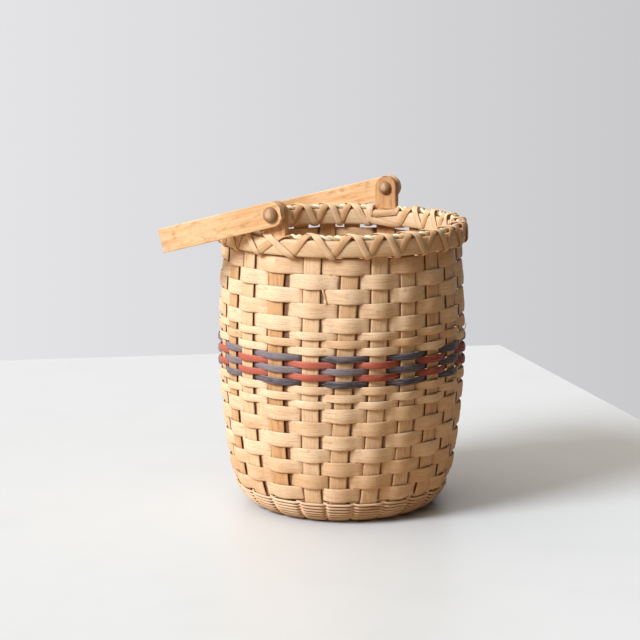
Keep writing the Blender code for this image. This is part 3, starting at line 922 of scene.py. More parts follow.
@dataclass(frozen=True)
class Wall:
    """The middle surface of the stakes: bellied wall, rounded corner and flat base.

    It also holds what ears, pegs and handle share: the height of the pivot and its holes.
    """

    belly_radius: float = 115.2 * MM
    belly_height: float = 153.5 * MM
    neck_taper: float = 4.2 * MM
    foot_taper: float = 9.7 * MM
    foot_height: float = 40.0 * MM
    corner_reach: float = 28.5 * MM
    base_level: float = 3.3 * MM
    hoop_bottom: float = 255.1 * MM
    hoop_top: float = 270.5 * MM
    twining_top: float = 24.6 * MM
    ear_offset: float = 8.7 * MM
    ear_interval: float = math.radians(17.5)
    stake_count: int = 24
    stake_width: float = 16.0 * MM
    stake_thickness: float = 1.2 * MM
    hub_width: float = 5.5 * MM
    hub_start: float = 24.0 * MM
    cover_share: float = 0.72
    pivot: float = 292.5 * MM
    peg_hole: float = 3.82 * MM
    leans: tuple[float, ...] = (0, 1.5, 7.5, 4.4, 1.9, 0.5, -1, 1, -0.5, 1, 0.5, -1,
                                0, 1, -1, 0.5, 1, -0.5, -1, 0.5, 1, 1, 2, -1)

    @property
    def top_radius(self) -> float:
        """Radius of the stakes' middle at the hoops."""
        return self.belly_radius - self.neck_taper

    @property
    def flat_radius(self) -> float:
        """Radius of the flat base."""
        return self.belly_radius - self.foot_taper - self.corner_reach

    @property
    def ear_turn(self) -> float:
        """Angle of the ears' offset from the Y axis."""
        return math.asin(self.ear_offset / self.top_radius)

    def corner(self) -> tuple[float, float]:
        """Find the ellipse that joins the wall and the base with no kink.

        Returns:
            Its half axes, across and up.
        """
        rise = self.foot_height - self.base_level
        slope = 2 * self.foot_taper / (self.belly_height - self.foot_height)
        steepness = slope * rise / self.corner_reach
        cosine = steepness / (1 - steepness)
        return self.corner_reach / math.sqrt(1 - cosine ** 2), rise / (1 - cosine)

    def radius(self, height: float) -> float:
        """Radius of the stakes' middle.

        Args:
            height: height above the floor.

        Returns:
            The radius at that height.
        """
        if height >= self.belly_height:
            share = (height - self.belly_height) / (self.hoop_bottom - self.belly_height)
            return self.belly_radius - self.neck_taper * min(1.0, share) ** 2
        if height >= self.foot_height:
            share = (self.belly_height - height) / (self.belly_height - self.foot_height)
            return self.belly_radius - self.foot_taper * share ** 2
        across, up = self.corner()
        cosine = 1 - (height - self.base_level) / up
        return self.flat_radius + across * math.sqrt(max(0.0, 1 - cosine ** 2))

    def corner_points(self, steps: int) -> list[tuple[float, float]]:
        """Points from the twining's top down to the flat base.

        Args:
            steps: how many steps they take.

        Returns:
            Radius and height of each point.
        """
        across, up = self.corner()
        full = math.acos(1 - (self.twining_top - self.base_level) / up)
        turns = [full * (1 - step / steps) for step in range(steps + 1)]
        return [(self.flat_radius + across * math.sin(turn),
                 self.base_level + up * (1 - math.cos(turn))) for turn in turns]

    def stake_angle(self, stake: int, height: float) -> float:
        """Angle of a stake at a height, counted on past a full turn.

        Args:
            stake: the stake's number, from 0 at the front ear; it may pass the count.
            height: height above the floor.

        Returns:
            The angle in radians.
        """
        turns, number = divmod(stake, self.stake_count)
        half = self.stake_count // 2
        if number <= half:
            low, high, step = -self.ear_turn, math.pi + self.ear_turn, number
        else:
            low, high = math.pi + self.ear_turn, 2 * math.pi - self.ear_turn
            step = number - half
        if step == 0:
            angle = low
        elif step == half:
            angle = high
        else:
            free = high - low - 2 * self.ear_interval
            angle = low + self.ear_interval + (step - 1) * free / (half - 2)
        lean = math.radians(self.leans[number])
        return angle + lean * (height / self.hoop_top - 0.5) + 2 * math.pi * turns

    def foot_angle(self, stake: int, radius: float, height: float) -> float:
        """Angle of a stake on the corner or, evened out towards the middle, on the base.

        Args:
            stake: the stake's number.
            radius: distance from the basket's axis.
            height: height above the floor.

        Returns:
            The angle in radians.
        """
        if height > self.base_level + MERGE:
            return self.stake_angle(stake, height)
        even = 2 * math.pi * stake / self.stake_count
        share = (radius - self.hub_start) / (self.flat_radius - self.hub_start)
        return even + (self.stake_angle(stake, self.base_level) - even) * min(
            1.0, max(0.0, share))

    def base_width(self, radius: float) -> float:
        """Width of a stake at a radius on the base, narrowing towards the middle."""
        room = self.cover_share * 2 * math.pi * radius / self.stake_count
        return min(self.stake_width, max(self.hub_width, room))


WALL = Wall()


# Sub-assemblies

@dataclass
class SubAssembly(ABC):
    """Pieces that are made and dressed together, on the wall that all share."""

    wall: Wall = WALL

    @abstractmethod
    def build(self) -> list[bpy.types.Object]:
        """Make and dress the pieces."""


@dataclass
class Stakes(SubAssembly):
    """Six long splints that cross under the base, and twelve short stakes between them.

    In the hub the splints lie on each other, a hub pitch apart, and the hub ramp brings each
    to the base's level.  The splint below the ears is cut narrow to its waist and stops low,
    where the ears' tails take over.  Where the twining covers a stake, shade is painted on it
    between the rods.
    """

    top: float = 268.3 * MM
    ear_splint_top: float = 31.9 * MM
    step: float = 6.0 * MM
    corner_steps: int = 10
    base_stations: int = 9
    hub_radii: tuple[float, ...] = (21 * MM, 18 * MM, 15 * MM, 12 * MM, 8 * MM, 3 * MM)
    hub_reach: float = 11.46 * MM
    hub_ramp: float = 8.5 * MM
    hub_pitch: float = 1.5 * MM
    cup: float = 0.27 * MM
    waist: float = 6.0 * MM
    # Dip given where the twining covers a stake, from which the finish paints shade between the
    # rods.
    covered_shade: float = 0.5
    cover_ease: float = 2.0 * MM
    width_wave: Wave = Wave(60 * MM, 0.25 * MM)
    side_wave: Wave = Wave(45 * MM, 0.3 * MM, 40)
    face_wave: Wave = Wave(26 * MM, 0.12 * MM, 80)
    tones: Tones = Tones(0.9, 3.7, 1.3)
    short_tones: Tones = Tones(0.9, 3.7, 1.3, 20)

    def leg(self, stake: int, top: float) -> list[Station]:
        """Stations of one stake from its top down to the flat base.

        Args:
            stake: the stake's number.
            top: height of its upper end.

        Returns:
            The stations, the uppermost first.
        """
        wall, stations = self.wall, []
        count = max(2, round((top - wall.twining_top) / self.step))
        levels = [top + (wall.twining_top - top) * index / count for index in range(count)]
        at_ear = top < wall.foot_height
        for radius, height in ([(wall.radius(level), level) for level in levels]
                               + wall.corner_points(self.corner_steps)[:-1]):
            angle = wall.stake_angle(stake, height)
            width = self.waist if at_ear else min(wall.stake_width, wall.base_width(radius))
            width += self.width_wave.at(height, stake)
            place = radial(angle) * radius + UP * height
            place += tangent(angle) * self.side_wave.at(height, stake)
            place += radial(angle) * self.face_wave.at(height, stake)
            # Painted shade where the twining covers the stake.
            covered = smooth_step(wall.twining_top - height, span=self.cover_ease)
            stations.append(Station(place, tangent(angle), width, wall.stake_thickness,
                                    self.cup, self.covered_shade * covered))
        return stations

    def base_run(self, stake: int, radii: Sequence[float], heights: Sequence[float],
                 at_ear: bool = False) -> list[Station]:
        """Stations of one stake on the base, from the corner inwards.

        Args:
            stake: the stake's number.
            radii: distances from the basket's axis.
            heights: height of the stake's middle at each distance.
            at_ear: whether it is cut narrow to run beside an ear.

        Returns:
            One station for each distance.
        """
        stations = []
        for radius, height in zip(radii, heights):
            angle = self.wall.foot_angle(stake, radius, self.wall.base_level)
            width = self.wall.base_width(radius)
            if at_ear:
                width = min(width, self.waist)
            stations.append(Station(radial(angle) * radius + UP * height, tangent(angle),
                                    width, self.wall.stake_thickness))
        return stations

    def crossing_splint(self, number: int, flat: Sequence[float]) -> bpy.types.Object:
        """Make one long splint, up the wall on both sides.

        Args:
            number: the splint's number, from 0 between the ears.
            flat: distances from the axis of its stations on the base, outside the hub.

        Returns:
            The finished splint.
        """
        wall = self.wall
        hub_level = wall.stake_thickness / 2 + self.hub_pitch * number
        radii = [*flat, *self.hub_radii]
        heights = []
        for radius in radii:
            share = smooth_step(radius, self.hub_reach, self.hub_ramp)
            heights.append(hub_level + (wall.base_level - hub_level) * share)
        at_ear = number == 0
        top = self.ear_splint_top if at_ear else self.top
        halves = [self.leg(stake, top) + self.base_run(stake, radii, heights, at_ear)
                  for stake in (2 * number, 2 * number + wall.stake_count // 2)]
        back = [replace(station, side=-station.side) for station in reversed(halves[1])]
        mesh = StripMesh()
        mesh.sweep(halves[0] + back, Section.FLAT, tone=self.tones.of(number),
                   start=Grain.SPLINT + number)
        return mesh.piece(f"crossing_splint_{number + 1}", STAKE, Body.BASKET,
                          [f"long_splint_{number + 1}"])

    def laid_stake(self, number: int, flat: Sequence[float]) -> bpy.types.Object:
        """Make one short stake, from the wall's top to the edge of the hub.

        Args:
            number: the stake's number among the short ones.
            flat: distances from the axis of the stations on the base.

        Returns:
            The finished stake.
        """
        wall = self.wall
        stake = 2 * number + 1
        radii = [radius for radius in flat if radius > wall.hub_start] + [wall.hub_start]
        mesh = StripMesh()
        mesh.sweep(self.leg(stake, self.top)
                   + self.base_run(stake, radii, [wall.base_level] * len(radii)),
                   Section.FLAT, tone=self.short_tones.of(number),
                   start=Grain.STAKE + number)
        return mesh.piece(f"laid_stake_{number + 1:02d}", STAKE, Body.BASKET,
                          [f"short_stake_{number + 1:02d}"])

    def build(self) -> list[bpy.types.Object]:
        """Make all splints and short stakes.

        Returns:
            The long splints and then the short stakes.
        """
        count = self.wall.stake_count
        flat = [self.wall.flat_radius - index * self.step
                for index in range(self.base_stations)]
        return ([self.crossing_splint(number, flat) for number in range(count // 4)]
                + [self.laid_stake(number, flat) for number in range(count // 2)])


@dataclass(frozen=True)
class RowReed:
    """The reed of a row: its form and finish, and how far it spreads on its crests.

    Crown is how far its edges fall back from its middle, and the painted side shade is the
    share that it takes of the painted light and shade by side.
    """

    finish: Finish
    section: Section
    thickness: float
    spread: float
    crown: float = 0.0
    painted_side_shade: float = 1.0


@dataclass
class Weave(SubAssembly):
    """Closed rows of flat and flat oval reed that bow over one stake and dive at the next.

    A row clears the stakes, bows out over their middles and holds its depth a little past
    their edges.  The row under the hoops is tucked behind them but for a sag at the back.
    The rows are painted paler on the side towards the key light and darker on the far side,
    painted light and shade, the dyed ones most.
    """

    wide_reed: RowReed = RowReed(WEAVER, Section.FLAT, thickness=0.9 * MM,
                                 spread=0.75 * MM, crown=0.45 * MM, painted_side_shade=0.3)
    fine_reed: RowReed = RowReed(WEAVER, Section.FLAT, thickness=1.1 * MM,
                                 spread=0.2625 * MM, crown=0.3 * MM, painted_side_shade=0.3)
    blue_reed: RowReed = RowReed(BLUE, Section.OVAL, thickness=1.7 * MM, spread=0.2625 * MM)
    red_reed: RowReed = RowReed(RED, Section.OVAL, thickness=1.7 * MM, spread=0.2625 * MM)
    clearance: float = 0.5 * MM
    bow: float = 1.35 * MM
    hold: float = 1.1 * MM
    hold_spread: float = 0.75
    hold_after: float = 0.25
    hold_before: float = -0.45
    hold_noise: tuple[float, float] = (3.3, 0.4)
    ear_hold: float = 3.6 * MM
    row_overlap: float = 1.1 * MM
    row_under_hoops: int = 1
    tuck: float = 1.2 * MM
    sag: float = 1.0 * MM
    sag_place: float = math.radians(208)
    sag_reach: float = math.radians(45)
    sag_ease: float = math.radians(25)
    # Painted light and shade by side: the tone towards the key light and on the far side.
    key_light_side: float = math.radians(-40)
    painted_light_tone: float = -0.5
    painted_shade_tone: float = 1.3
    ear_width: float = 20.0 * MM
    ear_widens: float = 228.0 * MM
    ear_widening: float = 24.0 * MM
    shared_wave: Wave = Wave(math.radians(38), 0.3 * MM, 3)
    own_wave: Wave = Wave(math.radians(38), 0.14 * MM)
    width_wave: Wave = Wave(math.radians(38), 0.22 * MM, 60)
    tones: Tones = Tones(1.2, 2.9, 5.5)
    shares: tuple[float, ...] = (0.0, 0.12, 0.22, 0.32, 0.42, 0.5, 0.58, 0.68, 0.78, 0.88)

    def names(self) -> list[str]:
        """List the rows by their nodes.

        Returns:
            The names, from the rim down.
        """
        rows = ["rim_weaver"] + [f"upper_weaver_{number}" for number in range(1, 6)]
        rows += [f"fine_weaver_{number}" for number in range(1, 4)]
        rows += ["blue_weaver_1", "red_weaver_1", "blue_weaver_2", "red_weaver_2",
                 "blue_weaver_3"]
        rows += [f"fine_weaver_{number}" for number in range(4, 7)]
        return rows + [f"lower_weaver_{number}" for number in range(1, 8)]

    def reed(self, name: str) -> RowReed:
        """Pick the reed of a row by its node's name."""
        kinds = {"fine": self.fine_reed, "blue": self.blue_reed, "red": self.red_reed}
        return kinds.get(name.split("_")[0], self.wide_reed)

    def offset(self, share: float, first: float, last: float, reach: float) -> float:
        """Offset from the stakes' middle between a stake passed outside and the next.

        Args:
            share: place between the two stakes' middles.
            first: share that the first stake's half width takes.
            last: share that the second stake's half width takes.
            reach: offset at the stakes' edges.

        Returns:
            The offset, positive outwards.
        """
        if share <= first:
            return reach + self.bow * (1 - (share / first) ** 2)
        if share >= 1 - last:
            return -reach - self.bow * (1 - ((1 - share) / last) ** 2)
        span = 1 - first - last
        part = (share - first) / span
        leave, meet = -2 * self.bow * span / first, -2 * self.bow * span / last
        return ((2 * part ** 3 - 3 * part ** 2 + 1) * reach
                + (part ** 3 - 2 * part ** 2 + part) * leave
                - (3 * part ** 2 - 2 * part ** 3) * reach
                + (part ** 3 - part ** 2) * meet)

    def half_width(self, stake: int, height: float) -> float:
        """Half the width of a stake, wider where an ear is let in.

        Args:
            stake: the stake's number.
            height: height above the floor.

        Returns:
            Half its width at that height.
        """
        if stake % (self.wall.stake_count // 2) == 0:
            share = smooth_step(height, self.ear_widens, self.ear_widening)
            return (self.wall.stake_width + (self.ear_width - self.wall.stake_width)
                    * share) / 2
        return self.wall.stake_width / 2

    def slack(self, stake: int, side: int) -> float:
        """How far past a stake's edge the weaver keeps its depth.

        Args:
            stake: the stake's number.
            side: 1 for the edge towards growing angles, -1 for the other.

        Returns:
            The distance, longest beside the ears, where the stakes stand further apart.
        """
        if side > 0 and stake % (self.wall.stake_count // 2) == 0:
            return self.ear_hold
        step, seed = self.hold_noise
        uneven = noise.noise(Vector((stake % self.wall.stake_count * step, side, seed)))
        return self.hold * (1 + self.hold_spread * uneven
                            + (self.hold_after if side > 0 else self.hold_before))

    def rise_under_hoops(self, angle: float) -> float:
        """How far the upper edge of the row under the hoops is off their lower edge.

        Args:
            angle: angle round the basket.

        Returns:
            The tuck behind the hoops, or the sag below them where light shows under the rim.
        """
        away = abs((angle - self.sag_place + math.pi) % (2 * math.pi) - math.pi)
        return (self.tuck + self.sag) * smooth_step(
            away, self.sag_reach, self.sag_ease) - self.sag

    def painted_side_shade(self, angle: float) -> float:
        """Tone of painted light and shade at an angle, lowest on the side towards the key
        light.
        """
        away = 0.5 - 0.5 * math.cos(angle - self.key_light_side)
        return self.painted_light_tone + (self.painted_shade_tone - self.painted_light_tone) * away

    def row(self, order: int, height: float, width: float, reed: RowReed) -> list[Station]:
        """Stations of one closed row.

        Args:
            order: the row's number from the rim, which sets what it passes outside.
            height: height of its middle.
            width: width of its reed.
            reed: what it is woven from.

        Returns:
            The stations round the basket.
        """
        wall, stations = self.wall, []
        reach = wall.stake_thickness / 2 + self.clearance + reed.thickness / 2
        low, high = wall.radius(height - width / 2), wall.radius(height + width / 2)
        tilt = math.atan2(high - low, width)
        for stake in range(wall.stake_count):
            outside = 1 if (stake + order) % 2 else -1
            start, end = (wall.stake_angle(stake + index, height) for index in (0, 1))
            spacing = (end - start) * wall.radius(height)
            first = (self.half_width(stake, height) + self.slack(stake, 1)) / spacing
            last = (self.half_width(stake + 1, height) + self.slack(stake + 1, -1)) / spacing
            for share in self.shares:
                angle = start + (end - start) * share
                offset = outside * self.offset(share, first, last, reach)
                rise = self.shared_wave.at(angle) + self.own_wave.at(angle, order)
                out, side = radial(angle), UP
                normal = out * math.cos(tilt) - side * math.sin(tilt)
                side = out * math.sin(tilt) + side * math.cos(tilt)
                crest = min(1.0, abs(offset) / (reach + self.bow)) ** 2
                spread = self.row_overlap + reed.spread * crest
                if order == self.row_under_hoops:
                    grown = self.rise_under_hoops(angle)
                    spread += grown
                    rise += grown / 2
                # The last two are the dip, from which the finish paints shade where the row
                # dives, and the painted light and shade by side.
                stations.append(Station(
                    out * (low + high) / 2 + UP * (height + rise) + normal * offset, side,
                    width + spread + self.width_wave.at(angle, order), reed.thickness,
                    math.copysign(reed.crown, offset), -offset / (reach + self.bow),
                    reed.painted_side_shade * self.painted_side_shade(angle)))
        return stations

    def build(self) -> list[bpy.types.Object]:
        """Make every row over its node.

        Returns:
            The rows from the rim down.
        """
        pieces = []
        for order, name in enumerate(self.names()):
            low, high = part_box(name)
            reed, mesh = self.reed(name), StripMesh()
            mesh.sweep(self.row(order, (low.z + high.z) / 2, high.z - low.z, reed),
                       reed.section, closed=True, tone=self.tones.of(order),
                       start=Grain.ROW + order)
            pieces.append(mesh.piece(f"{name}_reed", reed.finish, Body.BASKET, [name]))
        return pieces


@dataclass
class Twining(SubAssembly):
    """Two round reeds that twist about each other round the stakes, over foot and base.

    A reed is packed against its neighbours where it shows on a stake and squeezed where the
    two cross, and the crossing pushes them apart along the stakes.  Shade is painted on a reed
    where it passes behind the stakes.
    """

    pitch: float = 3.6 * MM
    reed: float = 2.4 * MM
    packed: float = 2.6 * MM
    crossing: float = 1.1 * MM
    sunk: float = 0.1 * MM
    squeezed: float = 1.6 * MM
    gap: float = 0.2 * MM
    inner_end: float = 24.0 * MM
    cover_share: float = 0.44
    most_cover: float = 0.40
    # Dip where a reed passes behind the stakes, from which the finish paints shade in the gaps.
    behind_shade_reach: float = 0.8
    first_stake: int = 15
    tones: tuple[float, float] = (0.1, -0.1)
    steps: int = 8
    corner_steps: int = 60
    base_steps: int = 20
    loose_wave: Wave = Wave(1 / 0.23, 0.12 * MM, 9)
    width_wave: Wave = Wave(1 / 0.37, 0.15 * MM, 19)

    def profile(self) -> list[SectionPoint]:
        """Follow the stakes' middle from the twining's top inwards.

        Returns:
            Its points, each with the length so far.
        """
        points = self.wall.corner_points(self.corner_steps)
        points += [(self.wall.flat_radius + (self.inner_end - self.wall.flat_radius)
                    * (index + 1) / self.base_steps, self.wall.base_level)
                   for index in range(self.base_steps)]
        rows, length = [], 0.0
        for index, (radius, height) in enumerate(points):
            before, after = points[max(0, index - 1)], points[min(len(points) - 1, index + 1)]
            down = Vector((after[0] - before[0], after[1] - before[1])).normalized()
            if index:
                length += math.hypot(radius - points[index - 1][0],
                                     height - points[index - 1][1])
            rows.append(SectionPoint(length, radius, height, -down.y, down.x))
        return rows

    def at(self, rows: list[SectionPoint], length: float) -> SectionPoint:
        """Look up a place along the profile.

        Args:
            rows: the profile.
            length: how far along it.

        Returns:
            The point there, between the two nearest.
        """
        length = min(rows[-1].along, max(0.0, length))
        high = min(bisect_right(rows, length, key=lambda row: row.along), len(rows) - 1)
        before, after = rows[high - 1], rows[high]
        share = (length - before.along) / (after.along - before.along)
        return SectionPoint(*(first + (second - first) * share
                              for first, second in zip(before, after)))

    def strand(self, number: int) -> list[Station]:
        """Stations of one of the two reeds.

        Args:
            number: 0 or 1, which of the pair.

        Returns:
            The stations from the top row at the back to the middle of the base.
        """
        wall = self.wall
        rows = self.profile()
        turns = int((rows[-1].along - self.pitch) / self.pitch)
        reach = wall.stake_thickness / 2 + self.gap + self.reed / 2
        stations = []
        for interval in range(turns * wall.stake_count):
            stake = self.first_stake + interval
            outside = 1 if (stake + number) % 2 else -1
            for step in range(self.steps):
                share = step / self.steps
                along = self.pitch * (0.5 + (interval + share) / wall.stake_count)
                here = self.at(rows, along)
                start, end = (wall.foot_angle(stake + index, here.radius, here.height)
                              for index in (0, 1))
                spacing = (end - start) * here.radius
                cover = min(self.most_cover,
                            self.cover_share * wall.base_width(here.radius) / spacing)
                twist = math.pi * smooth_step(share, cover, 1 - 2 * cover)
                angle = start + (end - start) * share
                here = self.at(rows, along + outside * self.crossing / 2 * math.sin(twist))
                normal = here.normal(angle)
                down = UP * -here.out + radial(angle) * here.up
                over = math.cos(twist) ** 2
                tall = self.squeezed + (self.packed - self.squeezed) * over
                tall += self.width_wave.at(interval, number)
                # The dip paints shade on the reed where it passes behind the stakes.
                stations.append(Station(
                    radial(angle) * here.radius + UP * here.height
                    + normal * (outside * reach * math.cos(twist) - self.sunk * (1 - over))
                    + down * self.loose_wave.at(interval, number),
                    -down, tall, self.reed,
                    dip=-self.behind_shade_reach * outside * math.cos(twist)))
        return stations

    def build(self) -> list[bpy.types.Object]:
        """Make both reeds, each over one of the two shells.

        Returns:
            The two reeds.
        """
        pieces = []
        for number, (name, node) in enumerate((("twined_reed_first", "twining_outer"),
                                               ("twined_reed_second", "twining_inner"))):
            mesh = StripMesh()
            mesh.sweep(self.strand(number), Section.ROUND, tone=self.tones[number],
                       start=Grain.TWINED + 20 * number)
            pieces.append(mesh.piece(name, ROUND, Body.BASKET, [node]))
        return pieces


@dataclass
class Rim(SubAssembly):
    """Two half round hoops, the rope between them and two flat strands that lash them.

    A strand goes round the rim's section from hole to hole under the hoops.  It climbs
    straight to the top, lifts over the rope and passes beside an ear, not over it.
    """

    hoop_seat: float = 2.85 * MM
    hoop_thickness: float = 4.0 * MM
    hoop_depth: float = 15.4 * MM
    hoop_steps: int = 120
    hoop_wave: Wave = Wave(math.radians(40), 0.25 * MM, 5)
    hoop_widening: float = 0.6
    hoop_tone: float = 0.1
    rope_height: float = 272.0 * MM
    rope_strand: float = 3.1 * MM
    rope_offset: float = 1.4 * MM
    rope_pitch: float = 14.0 * MM
    rope_step: float = 1.7 * MM
    rope_clear: float = 11.8 * MM
    rope_turn_wave: Wave = Wave(20 * MM, 0.5, 2)
    rope_size_wave: Wave = Wave(6 * MM, 0.15 * MM)
    rope_tones: tuple[float, float] = (0.4, -0.4)
    lashing_width: float = 6.8 * MM
    lashing_thickness: float = 0.9 * MM
    lashing_cup: float = 0.7 * MM
    lashing_width_wave: Wave = Wave(1 / 0.06, 0.35 * MM, 3)
    lashing_place_wave: Wave = Wave(1 / 1.7, math.radians(0.5), 5)
    lashing_tones: tuple[float, float] = (0.35, -0.35)
    climb_start: float = 0.24
    lift: float = 1.3 * MM
    lift_start: float = 262.0 * MM
    lift_ease: float = 10.0 * MM
    wrap_reach: float = 7.7 * MM
    wrap_top: float = 273.5 * MM
    wrap_bottom: float = 254.4 * MM
    wrap_roundness: float = 4.2
    layer_step: float = 1.0 * MM
    ear_clear: float = 15.0 * MM
    ear_levels: tuple[float, float] = (0.53, 0.25)
    ear_ease: float = 0.16
    section_steps: int = 240
    wrap_steps: int = 32

    def hoops(self) -> list[bpy.types.Object]:
        """Make the outer and the inner hoop.

        Returns:
            The two hoops.
        """
        wall, pieces = self.wall, []
        height = (wall.hoop_bottom + wall.hoop_top) / 2
        for name, side in (("outer", 1), ("inner", -1)):
            radius = wall.top_radius + side * (self.hoop_seat + self.hoop_thickness / 2)
            stations = []
            for step in range(self.hoop_steps):
                angle = 2 * math.pi * step / self.hoop_steps
                wave = self.hoop_wave.at(angle, side) * (0.5 - 0.5 * math.cos(angle))
                stations.append(Station(
                    radial(angle) * (radius + wave) + UP * (height + wave), UP * side,
                    self.hoop_depth + self.hoop_widening * wave, self.hoop_thickness))
            mesh = StripMesh()
            mesh.sweep(stations, Section.HALF_ROUND, closed=True, tone=self.hoop_tone * side,
                       start=Grain.HOOP + 5 * side)
            pieces.append(mesh.piece(f"rim_hoop_{name}", HOOP, Body.BASKET,
                                     [f"hoop_{name}"]))
        return pieces

    def rope_strands(self, start: float, end: float) -> StripMesh:
        """Twist two strands of seagrass about each other.

        Args:
            start: the angle at which they begin.
            end: the angle at which they end.

        Returns:
            The mesh of both, still open to work.
        """
        wall = self.wall
        mesh = StripMesh()
        steps = int((end - start) * wall.top_radius / self.rope_step)
        for strand in range(2):
            stations = []
            for step in range(steps + 1):
                angle = start + (end - start) * step / steps
                length = (angle - start) * wall.top_radius
                turn = 2 * math.pi * length / self.rope_pitch + math.pi * strand
                turn += self.rope_turn_wave.at(length)
                place = radial(angle) * (wall.top_radius + self.rope_offset * math.cos(turn))
                place += UP * (self.rope_height - self.rope_offset * math.sin(turn))
                size = self.rope_strand + self.rope_size_wave.at(length, strand)
                stations.append(Station(place, UP, size, size))
            mesh.sweep(stations, Section.ROUND, tone=self.rope_tones[strand],
                       start=Grain.ROPE + strand)
        return mesh

    def rope(self) -> list[bpy.types.Object]:
        """Make the twisted seagrass between the hoops, from ear to ear.

        Returns:
            Its length on the right and its length on the left.
        """
        wall, pieces = self.wall, []
        clear = math.asin(self.rope_clear / wall.top_radius)
        half = wall.stake_count // 2
        for name, first in (("right", 0), ("left", half)):
            mesh = self.rope_strands(wall.stake_angle(first, wall.hoop_top) + clear,
                                     wall.stake_angle(first + half, wall.hoop_top) - clear)
            pieces.append(mesh.piece(f"seagrass_rope_{name}", SEAGRASS, Body.BASKET,
                                     [f"rim_filler_{name}"]))
        return pieces

    def wrap(self, layer: int) -> list[SectionPoint]:
        """The loop that a strand follows round the rim's section.

        Args:
            layer: 0 for the strand that lies below, 1 for the one above.

        Returns:
            Its points, each with its share of the way round from below, outside first, and
            with its radius from the stakes' middle.
        """
        reach = self.wrap_reach + layer * self.layer_step
        middle = (self.wrap_top + self.wrap_bottom) / 2
        rise = (self.wrap_top - self.wrap_bottom) / 2 + layer * self.layer_step
        power = 2 / self.wrap_roundness
        points = []
        for step in range(self.section_steps + 1):
            turn = 2 * math.pi * step / self.section_steps - math.pi / 2
            across, up = math.cos(turn), math.sin(turn)
            points.append((reach * math.copysign(abs(across) ** power, across),
                           middle + rise * math.copysign(abs(up) ** power, up)))
        lengths = [0.0]
        for first, second in zip(points, points[1:]):
            lengths.append(lengths[-1] + math.dist(first, second))
        loop, index = [], 0
        for step in range(self.wrap_steps):
            goal = lengths[-1] * step / self.wrap_steps
            while lengths[index + 1] < goal:
                index += 1
            share = (goal - lengths[index]) / (lengths[index + 1] - lengths[index])
            first, second = points[index], points[index + 1]
            across = first[0] + (second[0] - first[0]) * share
            height = first[1] + (second[1] - first[1]) * share
            facing = Vector((second[1] - first[1], first[0] - second[0])).normalized()
            loop.append(SectionPoint(step / self.wrap_steps, across, height,
                                     facing.x, facing.y))
        return loop

    def climb(self, share: float) -> float:
        """Hold at the hole under the hoop, then run straight up to the top of the rim."""
        return min(1.0, max(0.0, (share - self.climb_start) / (1 - self.climb_start)))

    def path(self, strand: Lashing) -> list[tuple[Vector, Vector]]:
        """Follow a lashing strand over every stake.

        Args:
            strand: which of the two.

        Returns:
            Place and outward normal of each point.
        """
        wall, points = self.wall, []
        direction, layer = strand.value
        loop = self.wrap(layer)
        beside_ear = math.asin(self.ear_clear / wall.top_radius)
        for stake in list(range(wall.stake_count))[::direction]:
            apex, before, after = (wall.stake_angle(stake + index, wall.hoop_top)
                                   for index in (0, -1, 1))
            start, end = ((before + apex) / 2, (apex + after) / 2)[::direction]
            at_ear = stake % (wall.stake_count // 2) == 0
            if at_ear:
                apex += direction * beside_ear * (1 if stake == 0 else -1)
            else:
                apex += self.lashing_place_wave.at(stake)
            for point in loop:
                inside = point.along > 0.5
                foot, part = (end, 1 - point.along) if inside else (start, point.along)
                if at_ear and inside:
                    turn = smooth_step(part / 0.5, self.ear_levels[layer], self.ear_ease)
                else:
                    turn = self.climb(part / 0.5)
                angle = foot + (apex - foot) * turn
                height = point.height
                if not at_ear:
                    height += self.lift * smooth_step(height, self.lift_start, self.lift_ease)
                points.append((radial(angle) * (wall.top_radius + point.radius)
                               + UP * height, point.normal(angle)))
        return points

    def lashing(self, strand: Lashing) -> bpy.types.Object:
        """Make one strand, which goes over every stake and leans past the ears.

        Args:
            strand: which of the two.

        Returns:
            The finished strand.
        """
        points, stations = self.path(strand), []
        layer = strand.value[1]
        for index, (place, facing) in enumerate(points):
            along = points[min(index + 1, len(points) - 1)][0] - points[max(index - 1, 0)][0]
            width = self.lashing_width + self.lashing_width_wave.at(index, layer)
            stations.append(Station(place, facing.cross(along).normalized(), width,
                                    self.lashing_thickness, self.lashing_cup))
        mesh = StripMesh()
        mesh.sweep(stations, Section.FLAT, tone=self.lashing_tones[layer],
                   start=Grain.LASHING + 20 * layer)
        node = f"lashing_{strand.name.lower()}"
        return mesh.piece(f"{node}_strand", LASHING, Body.BASKET, [node])

    def build(self) -> list[bpy.types.Object]:
        """Make the hoops, the rope and the two lashing strands."""
        return [*self.hoops(), *self.rope(), *(self.lashing(strand) for strand in Lashing)]


@dataclass(frozen=True)
class Sliver:
    """A stray end of weaver that runs straight from one place on the wall to another.

    A place is degrees round the basket, height, and distance off the stakes' middle.
    """

    name: str
    start: tuple[float, float, float]
    end: tuple[float, float, float]
    depth: float
    width: float = 0.6 * MM
    tone: float = 0.2


